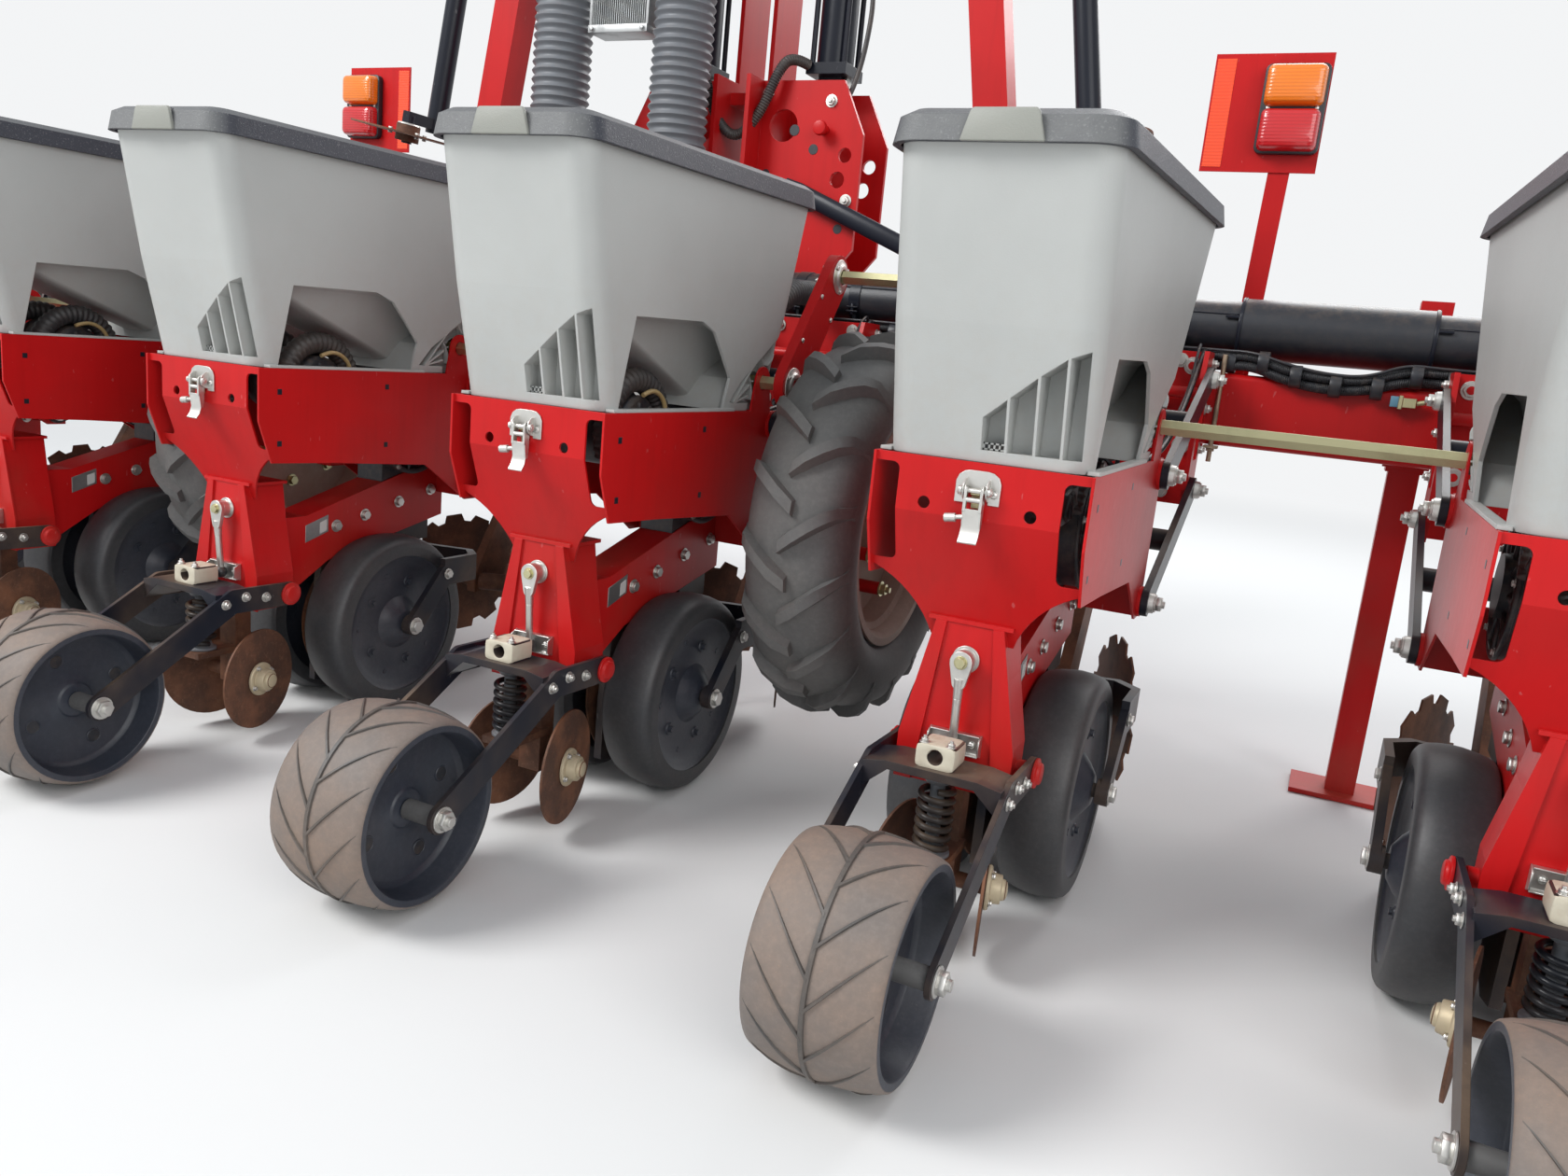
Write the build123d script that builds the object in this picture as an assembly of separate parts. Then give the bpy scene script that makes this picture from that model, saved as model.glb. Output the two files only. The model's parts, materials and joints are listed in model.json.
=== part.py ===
from build123d import *
import os
from math import atan2, cos, degrees, hypot, pi, radians, sin

# A six-row planter on a rigid toolbar, carried by a three-point hitch and two lugged drive wheels.
# Millimetres. X points right seen from behind, Y points forwards (towards the tractor), Z points up.
# Heights are above the floor. Lengths along Y are given from the toolbar's centreline, and every
# piece is moved by SHIFT_Y at the end, so that the origin is on the floor under the machine's middle.

# Rows
ROW_PITCH = 750
ROW_COUNT = 6
ROW_X = [(i - (ROW_COUNT - 1) / 2) * ROW_PITCH for i in range(ROW_COUNT)]
ROW_NAMES = [str(i + 1) for i in range(ROW_COUNT)]

# Running clearances
SEAT_GAP = 0.3
PIN_GAP = 0.3
WHEEL_GAP = 5

# Toolbar, a square tube
BAR_SIDE = 150
BAR_WALL = 8
BAR_HALF = 2300
BAR_Z = 822
BAR_BACK = -BAR_SIDE / 2
BAR_FRONT = BAR_SIDE / 2
BAR_TOP = BAR_Z + BAR_SIDE / 2
BAR_BASE = BAR_Z - BAR_SIDE / 2

# Air pipe above the toolbar
PIPE_R = 55
PIPE_Y = 5
PIPE_Z = 992
PIPE_HALF = 2060
SLEEVE_R = 62.5
SLEEVE_HALF = 180
SLEEVE_X = [-2 * ROW_PITCH, 2 * ROW_PITCH]
SPIGOT_R = 32
SPIGOT_LENGTH = 22
PIPE_BRACKET_T = 8
PIPE_BRACKET_HALF = 45
PIPE_BRACKET_X = 75

# Row head, the clamped bracket that holds the parallel arms
HEAD_HALF = 158
HEAD_PLATE_T = 12
HEAD_EAR_T = 10
HEAD_TOP = 935
HEAD_BASE = 615
HEAD_FRONT_HALF_Z = 98
CLAMP_ROD_R = 8
CLAMP_X = 120

# Parallel arms: pivots at the head, and the step from them to the pivots on the row frame
PIVOT_FRONT_Y = -152
PIVOT_UPPER_Z = 880
PIVOT_LOWER_Z = 655
ARM_RUN = -440
ARM_DROP = -170
ARM_R = 25
ARM_T = 12
ARM_CROSS_R = 21
PIVOT_REAR_Y = PIVOT_FRONT_Y + ARM_RUN
ARM_X = HEAD_HALF + SEAT_GAP

# Row frame, folded red plate
FRAME_TOP = 737
FRAME_HALF = 152
FRAME_T = 4
FRAME_BACK = -1169
FRAME_FRONT = -560
FRAME_SIDE_BASE = 562
FRAME_NECK_HALF = 58
FRAME_NECK_Z = 500
FRAME_BEND_Z = 660
FRAME_HOLE_R = 8.5
FRAME_HOLE_X = 74
FRAME_HOLE_Z = 674
SLOT_IN_X = 114
SLOT_OUT_X = 146
SLOT_BASE_Z = 585
SLOT_TOP_Z = 724
FRAME_NECK_Y = -1104
FRAME_NECK_BASE = 480
CRANK_BOX_BACK = -1118
CRANK_BOX_FRONT = -1030
CRANK_Z = 455
CRANK_EYE = 28
CRANK_ROD = 98
BEAM_HALF = 38
# Main beam under the hopper: Y and Z along its top and along its bottom, front to back
BEAM_TOP = [(-560, 540), (-960, 430)]
BEAM_BASE = [(-560, 400), (-900, 330)]

# Seed hopper: height, rear Y, front Y, rear half width, front half width of each section
HOPPER_BASE = FRAME_TOP + SEAT_GAP
HOPPER_TOP = 1138
HOPPER_SECTIONS = [
    (HOPPER_BASE, -1163, -611, 140, 146),
    (916, -1206, -564, 141, 160),
    (HOPPER_TOP, -1250, -537, 139, 180),
]
HOPPER_WALL = 6
HOPPER_CORNER = 38
# The seed space inside narrows to the meter: height, rear Y, front Y, half width
FUNNEL_SECTIONS = [
    (HOPPER_BASE + 10, -742, -690, 44),
    (885, -1120, -650, 96),
    (926, -1198, -574, 128),
]
FUNNEL_CORNER = 20
# Window in each side wall, in Y and Z, and the pocket with webs at the lower front
WINDOW = [(-1127, 720), (-1091, 888), (-890, 892), (-845, 876), (-812, 842), (-772, 798), (-790, 720)]
WEB_POCKET = [(-572, 900), (-730, 790), (-764, 752), (-636, 752)]
WEB_DEPTH = 24
WEB_ROOT = (-745, 752)
WEB_ANGLES = [14, 32, 50]
# Vent in the rear wall at the right corner: the X of its cells' edges, and the height of its sloping top there
VENT_CELLS = [(-4, 27), (31, 65), (69, 101), (105, 128)]
VENT_BASE = 754
VENT_TOP = [(-4, 797), (60, 850), (96, 878), (128, 892)]
VENT_BACK = -1140

# Hopper lid, hinged at its front
LID_SKIRT = 12
LID_RIM_GAP = 3
LID_WALL = 8
LID_GRIP_HALF = 52
LID_RISE = 30
LID_BASE = HOPPER_TOP - LID_SKIRT
LID_TOP = HOPPER_TOP + LID_RISE
HINGE_Y = -512
HINGE_Z = HOPPER_TOP - 18
HINGE_PIN_R = 5
HINGE_BARREL_R = 9
HINGE_X = 95
HINGE_EAR_T = 12

# Seed meter, a round housing under the hopper
METER_R = 108
METER_HALF = 68
METER_Y = -690
METER_Z = 618
METER_PORT_ANGLE = 30

# Air hose from the meter to the pipe
HOSE_R = 29
HOSE_BEND = 70

# Opener: shank, two discs, two gauge wheels
SHANK_HALF = 8
DISC_R = 160
DISC_T = 4
DISC_X = 24
DISC_Y = -742
DISC_Z = 176
DISC_TOE = 4
DISC_BOSS_R = 26
GAUGE_R = 192
GAUGE_Y = -787
GAUGE_Z = GAUGE_R
GAUGE_IN = 43
GAUGE_OUT = 146
GAUGE_HUB_R = 30
GAUGE_HUB_OUT = 154
GAUGE_AXLE_R = 12
GAUGE_ARM_X = 172

# Row cleaner in front of the opener
CLEANER_R = 155
CLEANER_T = 4
CLEANER_Y = -330
CLEANER_Z = 205
CLEANER_X = 98
CLEANER_TOE = 25
CLEANER_TEETH = 12
CLEANER_NOTCH = 18
# Where a tooth's tip and root lie along its pitch, and how deep each is cut
CLEANER_TOOTH = [(0, 0), (0.5, 0), (0.62, CLEANER_NOTCH), (0.88, CLEANER_NOTCH)]

# Closing discs in front of the press wheel
CLOSING_R = 100
CLOSING_T = 4
CLOSING_X = 66
CLOSING_Y = -1100
CLOSING_Z = 118
CLOSING_TOE = 12
CLOSING_HUB = [(8, 31), (24, 20), (32, 14)]
HANGER_FOOT_Z = 182
HANGER_TOP = 262

# Press wheel on its swinging fork
FORK_PIVOT_Y = -1059.5
FORK_PIVOT_Z = 293
PRESS_R = 152
PRESS_SIDE_R = 141
PRESS_HALF = 85
PRESS_Y = -1454.5
PRESS_Z = PRESS_R
PRESS_AXLE_R = 10
FORK_X = 98
FORK_T = 8
FORK_DEPTH = 46
CAP_R = 21
CAP_X = 92
SADDLE_BASE = 306
SADDLE_T = 12

# Coil springs
PRESS_SPRING_R = 28
PRESS_SPRING_Y = -1178
DOWN_SPRING_R = 30
SPRING_PIN_Y = -122
SPRING_PIN_Z = 850
SPRING_PIN_R = 12

# Drive wheels with lugged tyres
DRIVE_X = ROW_PITCH
DRIVE_Y = -610
DRIVE_Z = 540
DRIVE_R = 370
DRIVE_LUG = 22
DRIVE_HALF = 98
DRIVE_LUGS = 34
RIM_R = 205
RIM_HALF = 80
RIM_DISC_T = 10
DRIVE_AXLE_R = 25
DRIVE_HUB_R = 52
LEG_IN = 595
LEG_T = 44

# Ground drive shafts, hexagonal
HEX_R = 14
HEX_Y = -645
HEX_Z = 792
HEX_HIGH_Y = -470
HEX_HIGH_Z = 1010
BEARING_R = 30
CASE_X = 180
CASE_T = 20
CASE_R = 42

# Parking stands
STAND_X = 1680
STAND_Y = 125
STAND_SIDE = 60
STAND_WALL = 5
STAND_FOOT = 205
STAND_FOOT_T = 10
SLEEVE_WALL = 6
STAND_TOP = 1080

# Hitch tower
TOWER_BACK = 150
TOWER_FRONT = 330
TOWER_T = 12
TOWER_IN = 42
TOWER_OUT = 345
TOWER_TOP = 1530
MAST_TOP = 1990
MAST_BACK = 190
MAST_BAR = 60
HITCH_Y = 462
HITCH_LOWER_Z = 560
HITCH_MAST = 610
HITCH_HALF = 412.5
HITCH_PIN_R = 14
HITCH_PIN_LENGTH = 90
HITCH_LUG_R = 48
TOP_BORE_R = 12.75
TOP_GAP = 52
TOP_EAR_T = 16

# Upright cylinders between the tower's plates and the mast's cross bar
RAM_X = 200
RAM_Y = 258
RAM_R = 48
RAM_BLOCK = 56
RAM_BASE = TOWER_TOP + 30
RAM_LENGTH = 250
RAM_ROD_R = 20

# Suction fan on its collector box, and the two hoses down to the air pipe
FAN_R = 195
FAN_X = -295
FAN_HALF = 70
COLLECTOR_BASE = 1815
COLLECTOR_TOP = 1905
COLLECTOR_X = [-560, -30]
COLLECTOR_Y = [-78, 88]
FAN_Z = COLLECTOR_TOP + FAN_R - 30
FAN_HOSE_R = 80
FAN_HOSE_X = [-480, -110]
COOLER_X = [-385, -205]
COOLER_Y = [-20, 60]
COOLER_BASE = 1610
COOLER_FINS = 6

# Row markers in two stages, folded up: a box arm, and a tube hung from the arm's top on its outer side
MARKER_X = 755
MARKER_Y = 35
MARKER_Z = 1190
MARKER_LEAN = 10
MARKER_LENGTH = 1220
MARKER_SIDE = 80
MARKER_PIN_R = 15
ELBOW_X = 105
ELBOW_T = 10
ELBOW_PIN_R = 12
MARKER_TUBE_R = 27.5
MARKER_TUBE_END = 120
MARKER_DISC_R = 150
MARKER_DISC_Y = -105

# Lamp boards
BOARD_IN = 1160
BOARD_OUT = 1400
BOARD_BASE = 1335
BOARD_TOP = 1580
BOARD_Y = 165
BOARD_T = 4

FRONT_Y = HITCH_Y + HITCH_LUG_R
REAR_Y = PRESS_Y - PRESS_R
SHIFT_Y = -(FRONT_Y + REAR_Y) / 2


def block(x0, x1, y0, y1, z0, z1):
    """A box between six planes."""
    return Pos((x0 + x1) / 2, (y0 + y1) / 2, (z0 + z1) / 2) * Box(x1 - x0, y1 - y0, z1 - z0)


def outline(points):
    """A face from corner points listed either way round, facing its plane's normal."""
    following = points[1:] + points[:1]
    area = sum(a[0] * b[1] - b[0] * a[1] for a, b in zip(points, following))
    return Polygon(*(points if area > 0 else points[::-1]), align=None)


def plate_x(points, x0, x1):
    """A plate whose outline is a list of (y, z), between two X planes."""
    return extrude(Plane.YZ.offset(x0) * outline(points), amount=x1 - x0)


def plate_y(points, y0, y1):
    """A plate whose outline is a list of (x, z), between two Y planes."""
    return extrude(Plane.XZ.offset(-y1) * outline(points), amount=y1 - y0)


def rod(start, end, radius):
    """A round bar between two points."""
    axis = Vector(*end) - Vector(*start)
    return extrude(Plane(origin=start, z_dir=axis) * Circle(radius), amount=axis.length)


def rod_x(x0, x1, y, z, radius):
    """A round bar along X."""
    return rod((x0, y, z), (x1, y, z), radius)


def tube(points, radius, bend):
    """A round hose of straight runs and tangent arcs."""
    path = FilletPolyline(*points, radius=bend)
    return sweep(Plane(origin=path @ 0, z_dir=path % 0) * Circle(radius), path=path)


def link(start, end, radius, x0, x1):
    """A flat bar with round ends between two (y, z) points."""
    dy, dz = end[0] - start[0], end[1] - start[1]
    length = hypot(dy, dz)
    slot = SlotCenterToCenter(length, 2 * radius)
    middle = ((start[0] + end[0]) / 2, (start[1] + end[1]) / 2)
    turn = Pos(0, middle[0], middle[1]) * Rot(degrees(atan2(dz, dy)), 0, 0)
    flat = extrude(Plane.YZ * slot, amount=x1 - x0)
    return Pos(x0, 0, 0) * turn * flat


def spun(profile, x, y, z):
    """A ring turned about an axis along X from (x, radius) points, centred at a place."""
    return Pos(x, y, z) * revolve(outline(profile), Axis.X)


def line_z(line, y):
    """The height of a two-point line at a given Y."""
    (y0, z0), (y1, z1) = line
    return z0 + (z1 - z0) * (y - y0) / (y1 - y0)


def each_row(make):
    """The same piece on every row, as solids that don't touch."""
    piece = make()
    return [Pos(x, 0, 0) * piece for x in ROW_X]


def mirrored(solids):
    """Solids and their mirror images in the machine's middle plane."""
    return list(solids) + [mirror(solid, Plane.YZ) for solid in solids]


def toolbar():
    outer = block(-BAR_HALF, BAR_HALF, BAR_BACK, BAR_FRONT, BAR_BASE, BAR_TOP)
    outer = fillet(outer.edges().filter_by(Axis.X), 14)
    inner = Pos(0, 0, BAR_Z) * Box(2 * BAR_HALF, BAR_SIDE - 2 * BAR_WALL, BAR_SIDE - 2 * BAR_WALL)
    return [outer - inner]


def air_pipe():
    pipe = rod_x(-PIPE_HALF, PIPE_HALF, PIPE_Y, PIPE_Z, PIPE_R)
    for x in SLEEVE_X:
        pipe += rod_x(x - SLEEVE_HALF, x + SLEEVE_HALF, PIPE_Y, PIPE_Z, SLEEVE_R)
    for x in ROW_X:
        back = PIPE_Y - PIPE_R - SPIGOT_LENGTH
        pipe += rod((x, PIPE_Y, PIPE_Z), (x, back, PIPE_Z), SPIGOT_R)
    for x in FAN_HOSE_X:
        pipe += rod((x, PIPE_Y, PIPE_Z), (x, PIPE_Y, PIPE_Z + PIPE_R + SPIGOT_LENGTH), FAN_HOSE_R - 12)
    return [pipe]


def pipe_bracket():
    """A folded sheet bracket whose round seat holds the pipe."""
    foot_z = BAR_TOP + SEAT_GAP
    low_y, high_y = PIPE_Y - PIPE_BRACKET_HALF, PIPE_Y + PIPE_BRACKET_HALF
    web_top = PIPE_Z - 20
    web = [(low_y, foot_z), (high_y, foot_z), (high_y, web_top), (low_y, web_top)]
    plate = plate_x(web, -PIPE_BRACKET_T / 2, PIPE_BRACKET_T / 2)
    foot = block(-30, 30, low_y, high_y, foot_z, foot_z + 6)
    seat = rod_x(-40, 40, PIPE_Y, PIPE_Z, PIPE_R + SEAT_GAP)
    return plate + foot - seat


def pipe_brackets():
    return [Pos(x + side * PIPE_BRACKET_X, 0, 0) * pipe_bracket() for x in ROW_X for side in (-1, 1)]


def row_head():
    """A bracket clamped round the toolbar, with an ear each side for the arms."""
    back = BAR_BACK - SEAT_GAP
    head = block(-HEAD_HALF, HEAD_HALF, back - HEAD_PLATE_T, back, HEAD_BASE, HEAD_TOP)
    ear = [(back, HEAD_BASE), (PIVOT_FRONT_Y - 20, HEAD_BASE), (PIVOT_FRONT_Y - 38, PIVOT_LOWER_Z),
           (PIVOT_FRONT_Y - 38, PIVOT_UPPER_Z), (PIVOT_FRONT_Y - 15, HEAD_TOP), (back, HEAD_TOP)]
    window = [(back - 30, PIVOT_LOWER_Z + 60), (PIVOT_FRONT_Y - 8, PIVOT_LOWER_Z + 60),
              (PIVOT_FRONT_Y - 8, PIVOT_UPPER_Z - 60), (back - 30, PIVOT_UPPER_Z - 60)]
    for side in (-1, 1):
        inner = side * (HEAD_HALF - HEAD_EAR_T)
        outer = side * HEAD_HALF
        head += plate_x(ear, min(inner, outer), max(inner, outer))
        head -= plate_x(window, min(inner, outer), max(inner, outer))
    head += rod_x(-HEAD_HALF + 2, HEAD_HALF - 2, SPRING_PIN_Y, SPRING_PIN_Z, SPRING_PIN_R)
    front = BAR_FRONT + SEAT_GAP
    reach = BAR_SIDE / 2 + SEAT_GAP + CLAMP_ROD_R
    for side in (-1, 1):
        x = side * CLAMP_X
        head += block(x - 28, x + 28, front, front + HEAD_PLATE_T,
                      BAR_Z - HEAD_FRONT_HALF_Z, BAR_Z + HEAD_FRONT_HALF_Z)
        for z in (BAR_Z - reach, BAR_Z + reach):
            head += rod((x, back - HEAD_PLATE_T - 14, z), (x, front + HEAD_PLATE_T + 22, z), CLAMP_ROD_R)
    return head


def parallel_arm(front_z):
    """Two flat bars and the tube between them."""
    rear_z = front_z + ARM_DROP
    start, end = (PIVOT_FRONT_Y, front_z), (PIVOT_REAR_Y, rear_z)
    arm = rod_x(-ARM_X, ARM_X, (start[0] + end[0]) / 2, (start[1] + end[1]) / 2, ARM_CROSS_R)
    for x0 in (-ARM_X - ARM_T, ARM_X):
        arm += link(start, end, ARM_R, x0, x0 + ARM_T)
    for y, z in (start, end):
        for side in (-1, 1):
            face = side * (ARM_X + ARM_T)
            arm += rod_x(min(face, face + side * 9), max(face, face + side * 9), y, z, 14)
    return arm


def parallel_arms():
    return each_row(lambda: parallel_arm(PIVOT_UPPER_Z)) + each_row(lambda: parallel_arm(PIVOT_LOWER_Z))


def row_frame():
    """Side plates, rear plate, crank box and main beam of one row, welded together."""
    upper_z = PIVOT_UPPER_Z + ARM_DROP
    lower_z = PIVOT_LOWER_Z + ARM_DROP
    side = [(FRAME_BACK - 5, FRAME_TOP), (FRAME_FRONT, FRAME_TOP), (FRAME_FRONT, lower_z - 30),
            (PIVOT_REAR_Y - 20, lower_z - 30), (PIVOT_REAR_Y - 150, 540), (-1000, 556),
            (-1145, FRAME_SIDE_BASE), (FRAME_BACK - 5, 640)]
    frame = block(-FRAME_HALF, FRAME_HALF, FRAME_FRONT - 20, FRAME_FRONT, lower_z - 30, 565)
    for edge in (-1, 1):
        inner, outer = edge * (FRAME_HALF - FRAME_T), edge * FRAME_HALF
        frame += plate_x(side, min(inner, outer), max(inner, outer))
        bearing = plate_x([(HEX_Y - BEARING_R - 12, FRAME_TOP - 5), (HEX_Y + BEARING_R + 12, FRAME_TOP - 5),
                           (HEX_Y + BEARING_R, HEX_Z), (HEX_Y - BEARING_R, HEX_Z)], *sorted((inner, outer)))
        bearing += rod_x(*sorted((inner, outer)), HEX_Y, HEX_Z, BEARING_R)
        frame += bearing - rod_x(*sorted((inner, outer)), HEX_Y, HEX_Z, HEX_R + SEAT_GAP)
        for z in (upper_z, lower_z):
            inner, outer = edge * FRAME_HALF, edge * HEAD_HALF
            frame += rod_x(min(inner, outer), max(inner, outer), PIVOT_REAR_Y, z, ARM_R + 2)
    bent = [(FRAME_BACK, FRAME_TOP), (FRAME_BACK + FRAME_T, FRAME_TOP),
            (FRAME_BACK + FRAME_T, FRAME_BEND_Z), (FRAME_NECK_Y + FRAME_T, FRAME_NECK_BASE),
            (FRAME_NECK_Y, FRAME_NECK_BASE), (FRAME_BACK, FRAME_BEND_Z)]
    sheet = plate_x(bent, -FRAME_HALF, FRAME_HALF)
    waist = RadiusArc((FRAME_HALF, 575), (FRAME_NECK_HALF, FRAME_NECK_Z - 30), -150)
    shape = Line((FRAME_NECK_HALF, FRAME_NECK_Z - 30), (FRAME_NECK_HALF, 430))
    shape += Line((FRAME_NECK_HALF, 430), (-FRAME_NECK_HALF, 430))
    shape += Line((-FRAME_NECK_HALF, 430), (-FRAME_NECK_HALF, FRAME_NECK_Z - 30))
    shape += RadiusArc((-FRAME_NECK_HALF, FRAME_NECK_Z - 30), (-FRAME_HALF, 575), -150)
    shape += Line((-FRAME_HALF, 575), (-FRAME_HALF, FRAME_TOP))
    shape += Line((-FRAME_HALF, FRAME_TOP), (FRAME_HALF, FRAME_TOP))
    shape += Line((FRAME_HALF, FRAME_TOP), (FRAME_HALF, 575))
    shape += waist
    front_view = extrude(Plane.XZ.offset(-FRAME_BACK) * make_face(shape), amount=100, both=True)
    sheet = sheet & front_view
    for edge in (-1, 1):
        hole = rod((edge * FRAME_HOLE_X, FRAME_BACK - 20, FRAME_HOLE_Z),
                   (edge * FRAME_HOLE_X, FRAME_BACK + 20, FRAME_HOLE_Z), FRAME_HOLE_R)
        x0, x1 = sorted((edge * SLOT_IN_X, edge * SLOT_OUT_X))
        sheet -= hole
        slot = block(x0, x1 + (10 if edge > 0 else 0), FRAME_BACK - 20, FRAME_BACK + 60, SLOT_BASE_Z, SLOT_TOP_Z)
        if edge < 0:
            slot = block(x0 - 10, x1, FRAME_BACK - 20, FRAME_BACK + 60, SLOT_BASE_Z, SLOT_TOP_Z)
        inner_edges = slot.edges().filter_by(Axis.Y).sort_by(Axis.X)
        slot = fillet(inner_edges[:2] if edge > 0 else inner_edges[-2:], 10)
        sheet -= slot
    frame += sheet
    crank_box = [(-50, 505), (50, 505), (60, 430), (80, 330), (80, 262), (-80, 262), (-80, 330), (-60, 430)]
    frame += plate_y(crank_box, CRANK_BOX_BACK, CRANK_BOX_FRONT)
    frame += block(-62, 62, CRANK_BOX_BACK - 2, CRANK_BOX_FRONT, 505, 511)
    for side in (-1, 1):
        flange = [(side * x, z) for x, z in ((50, 505), (34, 505), (60, 262), (86, 262), (86, 330))]
        frame += plate_y(flange, CRANK_BOX_BACK - 4, CRANK_BOX_BACK)
    beam = [BEAM_TOP[0], BEAM_TOP[1], (CRANK_BOX_BACK, 430), (CRANK_BOX_BACK, 262), (-1020, 262), BEAM_BASE[1],
            BEAM_BASE[0]]
    frame += plate_x(beam, -BEAM_HALF, BEAM_HALF)
    frame += rod_x(-CAP_X, CAP_X, FORK_PIVOT_Y, FORK_PIVOT_Z, CAP_R - 6)
    return frame


def hopper_outline(section, grow):
    """A hopper cross section: a tapering rectangle with round corners, grown by a distance."""
    z, back, front, back_half, front_half = section
    corners = [(-back_half - grow, back - grow), (back_half + grow, back - grow),
               (front_half + grow, front + grow), (-front_half - grow, front + grow)]
    return Plane.XY.offset(z) * fillet(outline(corners).vertices(), HOPPER_CORNER + grow)


def hopper_section(z):
    """The section at a height, between the listed ones."""
    for low, high in zip(HOPPER_SECTIONS, HOPPER_SECTIONS[1:]):
        if z <= high[0]:
            break
    share = (z - low[0]) / (high[0] - low[0])
    return (z,) + tuple(a + share * (b - a) for a, b in zip(low[1:], high[1:]))


def funnel(grow):
    """The seed space below its widest section, or its outer skin when grown."""
    sections = []
    for z, back, front, half in FUNNEL_SECTIONS:
        corners = [(-half - grow, back - grow), (half + grow, back - grow), (half + grow, front + grow),
                   (-half - grow, front + grow)]
        sections.append(Plane.XY.offset(z) * fillet(outline(corners).vertices(), FUNNEL_CORNER + grow))
    return loft(sections[:2], ruled=True) + loft(sections[1:], ruled=True)


def hopper():
    """A moulded hopper: the seed space, the skirt round its funnel, windows, webs and a vent."""
    lower, middle, upper = HOPPER_SECTIONS
    outer = loft([hopper_outline(lower, 0), hopper_outline(middle, 0)], ruled=True)
    outer += loft([hopper_outline(middle, 0), hopper_outline(upper, 0)], ruled=True)
    seed_z = FUNNEL_SECTIONS[-1][0]
    inner = loft([hopper_outline(hopper_section(seed_z), -HOPPER_WALL), hopper_outline(upper, -HOPPER_WALL)],
                 ruled=True)
    inner += funnel(0)
    inner += block(-44, 44, -742, -690, HOPPER_BASE - 1, HOPPER_BASE + 11)
    under_z = FUNNEL_SECTIONS[1][0] + 12
    under = loft([hopper_outline(lower, -HOPPER_WALL), hopper_outline(hopper_section(under_z), -HOPPER_WALL)],
                 ruled=True)
    under -= funnel(HOPPER_WALL)
    under -= block(-52, 52, -750, -682, HOPPER_BASE, HOPPER_BASE + 12)
    under -= block(VENT_CELLS[0][0] - 6, 160, -1260, VENT_BACK + 6, HOPPER_BASE, under_z)
    under -= plate_x([(-560, 920), (-742, 796), (-776, HOPPER_BASE), (-560, HOPPER_BASE)], -200, 200)
    shell = outer - inner - under
    half = hopper_section(820)[4]
    for side in (-1, 1):
        shell -= plate_x(WINDOW, *sorted((side * 116, side * 200)))
        pocket = plate_x(WEB_POCKET, *sorted((side * (half - WEB_DEPTH), side * 200)))
        for angle in WEB_ANGLES:
            turn = Pos(0, WEB_ROOT[0], WEB_ROOT[1]) * Rot(angle, 0, 0)
            pocket -= turn * block(-200, 200, 0, 240, -2, 2)
        shell -= pocket
        shell += block(*sorted((side * 136, side * FRAME_HALF)), -1150, -752, HOPPER_BASE, HOPPER_BASE + 5)
    shell -= rod_x(-200, 200, HEX_Y, HEX_Z, HEX_R + 6)
    notch_r = BEARING_R + WHEEL_GAP
    for side in (-1, 1):
        x0, x1 = sorted((side * (FRAME_HALF - 22), side * 200))
        notch = rod_x(x0, x1, HEX_Y, HEX_Z, notch_r)
        shell -= notch + block(x0, x1, HEX_Y - notch_r - 12, HEX_Y + notch_r + 12, HOPPER_BASE - 1, HEX_Z)
    for x0, x1 in VENT_CELLS:
        tops = [(x, vent_top(x)) for x in (x0, x1)]
        shell -= plate_y([(x0, VENT_BASE), (x1, VENT_BASE)] + tops[::-1], -1260, VENT_BACK)
    wall_y = upper[2] - HOPPER_WALL / 2
    for side in (-1, 1):
        x0, x1 = sorted((side * (HINGE_X + 2), side * (HINGE_X + 2 + HINGE_EAR_T)))
        ear = plate_x([(wall_y, HINGE_Z - 30), (HINGE_Y, HINGE_Z - 10), (HINGE_Y, HINGE_Z + 2),
                       (wall_y, HINGE_Z + 2)], x0, x1)
        ear += rod_x(x0, x1, HINGE_Y, HINGE_Z, HINGE_PIN_R + 5)
        shell += ear - rod_x(x0, x1, HINGE_Y, HINGE_Z, HINGE_PIN_R + PIN_GAP)
    return shell


def vent_top(x):
    """The height of the vent's sloping top at a place across the rear wall."""
    for (x0, z0), (x1, z1) in zip(VENT_TOP, VENT_TOP[1:]):
        if x <= x1:
            return z0 + (z1 - z0) * (x - x0) / (x1 - x0)
    return VENT_TOP[-1][1]


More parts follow.
